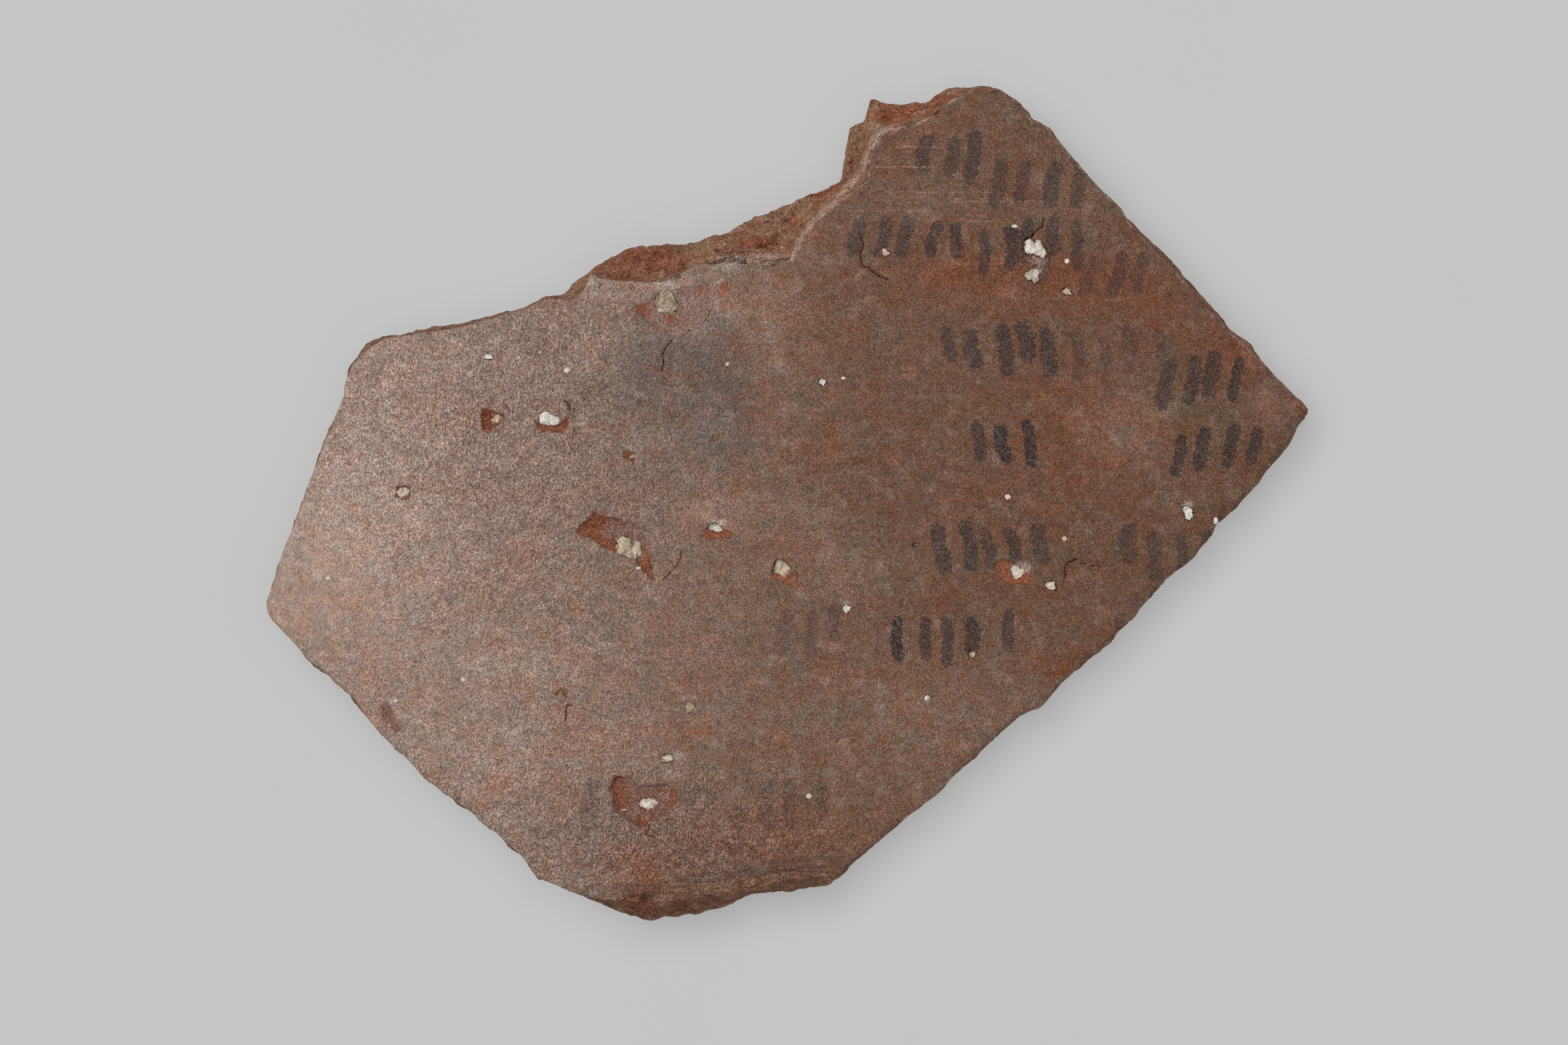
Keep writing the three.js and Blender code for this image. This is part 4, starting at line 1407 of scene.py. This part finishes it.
def sanded(tree, place, colour, open_clay):
    """Sand in a colour: each grain has a tone, some are rusty; coarser in breaks."""
    worn = stored(tree, "worn")
    tone, _ = sand(tree, place, SAND_GRAIN)
    low = times_plus(tree, worn, -0.08, 0.72)
    high = times_plus(tree, worn, 0.12, 1.28)
    colour = grained(tree, colour, ramp(tree, tone, 0.0, 1.0, low, high))
    _, hue = sand(tree, place, RUSTY_SAND)
    often = times_plus(tree, stored(tree, "rusty"), -0.25, 0.94)
    often = times_plus(tree, worn, 0.12, often)
    rusty = calculate(tree, "GREATER_THAN", hue, often)
    colour = tinted(tree, rusty, colour, RUSTY_GRAIN)
    clumps = ramp(tree, clouds(tree, place, CLUMP, 3.0, shift=17.0), 0.3, 0.7, 0.97, 1.05)
    colour = grained(tree, colour, clumps)
    coarse = ramp(tree, clouds(tree, place, COARSE_GRAIN, 3.0, shift=21.0), 0.3, 0.7, 0.74, 1.3)
    colour = mixed(tree, open_clay, colour, grained(tree, colour, coarse))
    grains = clouds(tree, place, FINE_GRAIN, 1.0, stretch=(1, 1.3, 1), shift=19.0)
    low = times_plus(tree, worn, 0.16, 0.28)
    high = times_plus(tree, worn, -0.12, 1.74)
    return grained(tree, colour, ramp(tree, grains, 0.25, 0.75, low, high))


def worn_height(tree, place):
    """Worn slip, from about 0.4 to 1.0: short hollows and ridges along the jar's axis."""
    fine = clouds(tree, place, HOLLOW_WIDTH, 3.0, stretch=(1, 2.0, 1), shift=6.0)
    wide = clouds(tree, place, RIDGE_WIDTH, 2.0, stretch=(1, 1.6, 1), shift=6.5)
    return times_plus(tree, wide, 0.4, fine)


def break_colour(tree, place):
    """Broken clay: red and brown in patches and thin layers, with painted shade in its crags' low parts
    and a painted highlight on their lumps.
    """
    patches = clouds(tree, place, 2.2, 5.0, stretch=(1, 1, 0.6), shift=3.0)
    red = plus(tree, patches, times(tree, stored(tree, "break red"), 0.3))
    colour = mixed(tree, ramp(tree, red, 0.5, 0.72), BREAK_BROWN, BREAK_RED)
    colour = mixed(tree, times(tree, stored(tree, "pale"), PALE_IN_BREAK), colour, EDGE_PALE)
    layers = clouds(tree, place, 0.25, 3.0, stretch=(8, 8, 1), shift=5.0)
    colour = grained(tree, colour, ramp(tree, layers, 0.3, 0.7, 0.85, 1.2))
    # Painted shade and highlight: the crags that raise the bump also darken their low parts and lighten
    # their lumps.
    return grained(tree, colour, ramp(tree, crags(tree, place), 0.7, 1.3, 0.72, 1.3))


def crags(tree, place):
    """Broken clay's crags, from about 0.6 to 1.4: lumps of two sizes."""
    wide = clouds(tree, place, CRAG_WIDTH, 4.0, stretch=(1, 1.3, 1), shift=8.2)
    lumps = clouds(tree, place, LUMP_WIDTH, 3.0, shift=8.4)
    return times_plus(tree, wide, 1.4, times(tree, lumps, 0.6))


def inner_colour(tree, place):
    """The inside of the jar, with the lines that fingers left on the wheel."""
    lines = clouds(tree, place, 0.8, 3.0, stretch=(20, 1, 1), shift=4.0)
    return mixed(tree, 1.0, INNER_BROWN, ramp(tree, lines, 0.2, 0.8, 0.85, 1.12), "MULTIPLY")


# %% Stains, dust, ink and painted highlights on the clay
INK_BLACK = srgb(50, 50, 56)
CHALK_WHITE = srgb(214, 200, 190)
ORANGE_TEMPER = srgb(186, 124, 88)
STAIN_TINTS = {
    "smoky": (1.2, (0.74, 0.8, 0.9, 1)),
    "ruddy": (0.9, (1.12, 0.84, 0.74, 1)),
    "olive": (1.2, (0.98, 1.0, 0.88, 1)),
}
DARK_SPECK = (0.6, 0.55, 0.55, 1)
# Shares of pale on step crests (dust and painted highlight), on rims (rubbed edge and painted
# highlight), and of chalk.
CREST_SHARE, RUBBED_AND_HIGHLIT_SHARE, CHALK_SHARE = 0.5, 0.78, 0.6
TEMPER = ((CHALK_WHITE, 1.3, 0.06, 0.16, 0.8), (ORANGE_TEMPER, 0.8, 0.07, 0.2, 0.6))
print("ink leaves", round(100 * INK_BLACK[1] / SKIN_BROWN[1]), "% of the brown skin's light")


def ragged(tree, place, name, size, low, high):
    """A mask from a stored value, its edge broken up by noise of a size."""
    cloud = clouds(tree, place, size, 4.0)
    value = times_plus(tree, cloud, 0.8, plus(tree, stored(tree, name), -0.4))
    return ramp(tree, value, low, high)


def stained(tree, place, colour):
    """Smoke, rust and olive stains over a colour, each with its size of fray and its tint."""
    for name, (fray, tint) in STAIN_TINTS.items():
        colour = tinted(tree, ragged(tree, place, name, fray, 0.1, 0.9), colour, tint)
    return colour


def dust_and_highlights(tree, place, colour):
    """Pale crests of split layers and a pale bevel at the skin's edge, each partly a painted highlight,
    and lime dust.
    """
    # Crests of split layers: pale dust and a painted highlight on each step's lip.
    crest = times(tree, ragged(tree, place, "crest", 0.5, 0.3, 0.9), CREST_SHARE)
    colour = mixed(tree, crest, colour, EDGE_PALE)
    # The pale bevel: partly a rubbed pale edge along the top break, partly a painted highlight along
    # every rim.
    bend = times_plus(tree, clouds(tree, place, 0.6, 4.0, shift=27.0), 0.9, -0.45)
    from_edge = plus(tree, stored(tree, "from pale edge"), bend)
    edge = times(tree, ramp(tree, from_edge, 0.42, 0.02), RUBBED_AND_HIGHLIT_SHARE)
    colour = mixed(tree, edge, colour, EDGE_PALE)
    share = times(tree, ragged(tree, place, "chalk", 0.16, 0.15, 0.8), CHALK_SHARE)
    return mixed(tree, share, colour, CHALK_WHITE)


def inked(tree, place, colour):
    """Faded lamp black in the strokes, rubbed off the tops of the grit."""
    mask = ragged(tree, place, "ink", 0.3, 0.46, 0.56)
    rubbed = ramp(tree, clouds(tree, place, 0.22, 2.0), 0.35, 0.65, 1.0, 0.45)
    dark = times(tree, rubbed, stored(tree, "ink strength"))
    share = times(tree, mask, dark)
    return mixed(tree, share, colour, INK_BLACK)


def speckled(tree, place, colour):
    """White and orange specks of temper, with spacing, size, share and strength; dark specks."""
    for grain, spacing, size, share, strength in TEMPER:
        mask = times(tree, specks(tree, place, spacing, size, share), strength)
        colour = mixed(tree, mask, colour, grain)
    return tinted(tree, specks(tree, place, 0.6, 0.06, 0.2), colour, DARK_SPECK)


# %% The whole material
# Worn slip's hollows: darker and redder, partly the clay's own red, partly painted shade.
HOLLOW_CLAY_AND_SHADE = (0.58, 0.38, 0.27, 1)
# Worn slip's ridges: lighter, a painted highlight.
RIDGE_HIGHLIGHT = (1.08, 1.09, 1.09, 1)
# Cracks: darker and redder, partly the clay's own red inside, partly painted shade.
CRACK_RED_AND_SHADE = (0.55, 0.34, 0.26, 1)
CALM_SAND_LOST = 0.6
SAND_BUMP, HUMP_BUMP, CRAG_BUMP, CRUMB_BUMP = 2.2, 1.6, 1.6, 0.5
WORN_BUMP, SKIN_BUMP = 0.65, 0.05
OPEN_IN_PITS = 0.3


def clay_relief(tree, place, standing, open_clay):
    """Height of the clay's fine texture in millimetres."""
    fine, _ = grit(tree, place, SAND_SIZE)
    sandy = times(tree, fine, SAND_BUMP)
    high = times_plus(tree, stored(tree, "worn"), WORN_BUMP, SKIN_BUMP)
    humps = times(tree, clouds(tree, place, 0.9, 3.0, shift=9.0), HUMP_BUMP)
    hollows = ramp(tree, standing, 0.5, 0.85, 0.5, 0.85)
    worn = times(tree, plus(tree, hollows, humps), high)
    crumbs = times(tree, clouds(tree, place, 0.26, 4.0, shift=8.0), CRUMB_BUMP)
    crumbly = times_plus(tree, crags(tree, place), CRAG_BUMP, crumbs)
    crumbly = times(tree, crumbly, open_clay)
    return plus(tree, sandy, plus(tree, worn, crumbly))


def clay_material():
    """Fired sandy clay, by the values stored on the sherd."""
    material, tree, output = new_material("fired clay")
    place = millimetres(tree)
    pit = ragged(tree, place, "pit", 0.4, 0.3, 0.6)
    bend = times_plus(tree, clouds(tree, place, 0.6, 4.0, shift=28.0), 0.7, -0.35)
    past = plus(tree, stored(tree, "past edge"), bend)
    broken = ramp(tree, past, -0.03, 0.15)
    colour = stained(tree, place, skin_colour(tree, place))
    colour = inked(tree, place, colour)
    colour = mixed(tree, broken, colour, break_colour(tree, place))
    colour = mixed(tree, stored(tree, "inner"), colour, inner_colour(tree, place))
    fresh = mixed(tree, ragged(tree, place, "pit red", 0.8, 0.15, 0.8), PIT_DUST, PIT_RED)
    colour = mixed(tree, pit, colour, fresh)
    colour = dust_and_highlights(tree, place, colour)
    open_clay = calculate(tree, "MAXIMUM", broken, times(tree, pit, OPEN_IN_PITS))
    sandy = sanded(tree, place, colour, open_clay)
    calm = times(tree, stored(tree, "calm"), CALM_SAND_LOST)
    colour = mixed(tree, calm, sandy, colour)
    standing = worn_height(tree, place)
    # Painted shade, with the clay's own red, in the worn slip's hollows; a painted highlight on its
    # ridges.
    hollow = times(tree, ramp(tree, standing, 0.68, 0.54), stored(tree, "worn"))
    colour = tinted(tree, hollow, colour, HOLLOW_CLAY_AND_SHADE)
    ridge = times(tree, ramp(tree, standing, 0.7, 0.88), stored(tree, "worn"))
    colour = tinted(tree, ridge, colour, RIDGE_HIGHLIGHT)
    # Painted shade, with the clay's own red, along the cracks.
    crack = ramp(tree, stored(tree, "crack"), 0.3, 0.8)
    colour = tinted(tree, crack, colour, CRACK_RED_AND_SHADE)
    colour = speckled(tree, place, colour)
    height = clay_relief(tree, place, standing, open_clay)
    matt_surface(tree, output, colour, height, roughness=0.9, shine=0.25)
    return material


sherd.data.materials.clear()
sherd.data.materials.append(clay_material())
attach(sherd, "root")
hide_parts(CLAY_NODE)
print("clay has", len(bpy.data.materials["fired clay"].node_tree.nodes), "nodes")

# %% [markdown]
# ## The lime
#
# Burnt limestone in the clay is now soft white lime. Each grain is its own piece, made from the
# frame's grain: cut finer, stretched to its own outline and a little into its seat, and
# roughened into crumbs. How deep it lies in the clay stays as in the frame.

# %% The lime's material
LIME_WHITE = srgb(246, 242, 236)
LIME_TONES = {
    "cream": (0.8, 0.5, srgb(224, 204, 178)),
    "green": (0.8, 0.6, srgb(188, 174, 154)),
    "dirt": (0.3, 0.8, srgb(150, 124, 102)),
}
DIRT_DOT = (0.62, 0.55, 0.48, 1)
LIME_GRIT_BUMP, LIME_HOLLOW_BUMP = 0.8, 0.16


def lime_material():
    """Chalky lime with dirt and dark dots, darker where its grit lies low."""
    material, tree, output = new_material("lime")
    place = millimetres(tree)
    fine_height, tone = grit(tree, place, SAND_SIZE)
    hollows = clouds(tree, place, 0.5, 4.0, shift=3.0)
    colour = LIME_WHITE
    for name, (fray, full, shade) in LIME_TONES.items():
        colour = mixed(tree, ragged(tree, place, name, fray, 0.1, full), colour, shade)
    dots = specks(tree, place, 0.5, 0.07, 0.3)
    colour = tinted(tree, dots, colour, DIRT_DOT)
    # Darker where the grit lies low, lighter where it stands up.
    colour = grained(tree, colour, ramp(tree, tone, 0.0, 1.0, 0.8, 1.08))
    grains = clouds(tree, place, 0.06, 1.0, shift=29.0)
    colour = grained(tree, colour, ramp(tree, grains, 0.25, 0.75, 0.62, 1.2))
    fine = times(tree, fine_height, LIME_GRIT_BUMP)
    height = times_plus(tree, hollows, LIME_HOLLOW_BUMP, fine)
    matt_surface(tree, output, colour, height, roughness=0.95, shine=0.2)
    return material


LIME = lime_material()
print("lime has", len(LIME.node_tree.nodes), "nodes")

# %% The grains
GRAIN_CUTS = 3
GRAIN_SWELL = 1.06
SHOULDER = 0.45
TOP_FLATNESS = 0.25
LUMP_SHARES = ((0.7, 0.2), (0.3, 0.14))
CREASES = {
    1: (path((1550, 360), (1551, 369), (1552, 374)), 0.2),
    12: (path((948, 806), (950, 815), (948, 826), (952, 838)), 0.5),
}
CREASE_HALF = 0.14
LEAST_REACH = 0.05
LEAST_AWAY = 1e-6
LEAST_TURN = 1e-9
CRUMB_SIZE, CRUMB_DEPTH = 0.42, 0.1
CRUMB_GROOVE = 2.2


def outline_reach(corners, middle, ways):
    """How far an outline lies from a place inside it, in each of some directions."""
    farthest = np.full(len(ways), LEAST_REACH)
    for start, end in closed(corners) - middle:
        along = end - start
        turn = ways[:, 0] * along[1] - ways[:, 1] * along[0]
        turn[turn == 0] = LEAST_TURN
        far = (start[0] * along[1] - start[1] * along[0]) / turn
        share = (start[0] * ways[:, 1] - start[1] * ways[:, 0]) / turn
        hit = (share >= 0) & (share <= 1) & (far > farthest)
        farthest[hit] = far[hit]
    return farthest


def fit_outline(form, corners, low, high):
    """Stretches the frame's round grain, so that it fills its outline and has a flatter top."""
    places = np.array([vert.co for vert in form.verts]) / MM
    away = places[:, :2] - (low + high)[:2] / 2
    far = np.hypot(*away.T)
    ways = away / np.maximum(far, LEAST_AWAY)[:, None]
    share = np.hypot(*(away / ((high - low)[:2] / 2)).T)
    middle = (corners.min(0) + corners.max(0)) / 2
    far_out = GRAIN_SWELL * share * outline_reach(corners, middle, ways)
    plan = middle + ways * far_out[:, None]
    shoulder = low[2] + SHOULDER * (high[2] - low[2])
    for vert, (x, y), z in zip(form.verts, plan, places[:, 2]):
        if z > shoulder:
            z = high[2] - TOP_FLATNESS * (high[2] - z)
        vert.co = Vector((x, y, z)) * MM


def crease(form, line, depth):
    """Sinks a furrow into a grain along a line."""
    plan = np.array([vert.co.xy for vert in form.verts]) / MM
    close = 1 - soft_step(0, CREASE_HALF, distance_to(line, plan))
    for vert, share in zip(form.verts, close):
        vert.co.z -= depth * share * MM


def roughen(form, seed, radius):
    """Moves the corners of a lump in and out along their normals, in step with its radius."""
    for size, depth in np.array(LUMP_SHARES) * radius:
        form.normal_update()
        places = np.array([vert.co for vert in form.verts]) / MM
        for vert, out in zip(form.verts, rough(places, size, 4, seed)):
            vert.co += vert.normal * float(out) * depth * MM


def crumble(form):
    """Sinks grooves into a lump between rounded crumbs."""
    form.normal_update()
    for vert in form.verts:
        near = noise.voronoi(vert.co / MM / CRUMB_SIZE)[0]
        groove = 1 - min(1.0, CRUMB_GROOVE * (near[1] - near[0]))
        vert.co -= vert.normal * groove * CRUMB_DEPTH * MM


def finish_lime(piece, tones):
    """Gives a lime piece its tones (how cream, greenish and dirty), material and body."""
    for name, value in zip(LIME_TONES, tones):
        store(piece.data, name, np.full(len(piece.data.vertices), value))
    piece.data.materials.append(LIME)
    piece.data.shade_smooth()
    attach(piece, "root")


def add_grain(number, node):
    """One grain, made from the frame's grain and standing for it."""
    form = bmesh.new()
    form.from_mesh(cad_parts[node].data)
    bmesh.ops.remove_doubles(form, verts=form.verts, dist=WELD)
    bmesh.ops.subdivide_edges(form, edges=form.edges, cuts=GRAIN_CUTS, use_grid_fill=True, smooth=0.6)
    low, high = GRAIN_BOXES[number - 1]
    corners, *tones = GRAINS[number - 1]
    fit_outline(form, corners, low, high)
    crumble(form)
    roughen(form, 40 + number, (high - low)[:2].mean() / 2)
    if number in CREASES:
        crease(form, *CREASES[number])
    grain = piece_from(form, f"lime_{number:02d}")
    finish_lime(grain, tones)
    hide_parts(node)
    return triangles(grain.data)


counts = [add_grain(number, node) for number, node in enumerate(GRAIN_NODES, 1)]
print("grains:", len(counts), "with", sum(counts), "triangles")

# %% Small specks of lime: place, width and height in pixels
SMALL_LIME = [
    (1599, 393, 8, 8), (1521, 341, 10, 5), (812, 530, 4, 4), (853, 557, 11, 9),
    (1092, 548, 6, 6), (1264, 569, 8, 5), (960, 852, 8, 4), (1388, 1045, 10, 8),
    (1213, 1191, 9, 8), (1509, 746, 10, 8), (1594, 808, 7, 7), (1821, 782, 9, 12),
    (698, 1018, 8, 6), (494, 868, 7, 5), (596, 1050, 5, 5), (586, 1088, 4, 4),
    (938, 1212, 6, 3), (1003, 438, 12, 9),
]
SPECK_TONES = (0.3, 0.0, 0.05)


def add_small_lime():
    """All the small specks as one piece, each a rough lump half sunk in the skin."""
    form = bmesh.new()
    for px, py, width, height in SMALL_LIME:
        plan = spot(px, py)[None]
        z = float((skin_height(plan) - relief(plan))[0])
        middle = Vector((*plan[0], z)) * MM
        size = Vector((width, height, min(width, height) * 0.6)) * PIXEL_MM / 2
        grown = bmesh.ops.create_icosphere(form, subdivisions=3, radius=MM)
        bmesh.ops.scale(form, vec=size, verts=grown["verts"])
        bmesh.ops.translate(form, vec=middle, verts=grown["verts"])
    roughen(form, 70, 0.25)
    piece = piece_from(form, "lime_specks")
    finish_lime(piece, SPECK_TONES)
    return triangles(piece.data)


print("small specks:", add_small_lime(), "triangles")
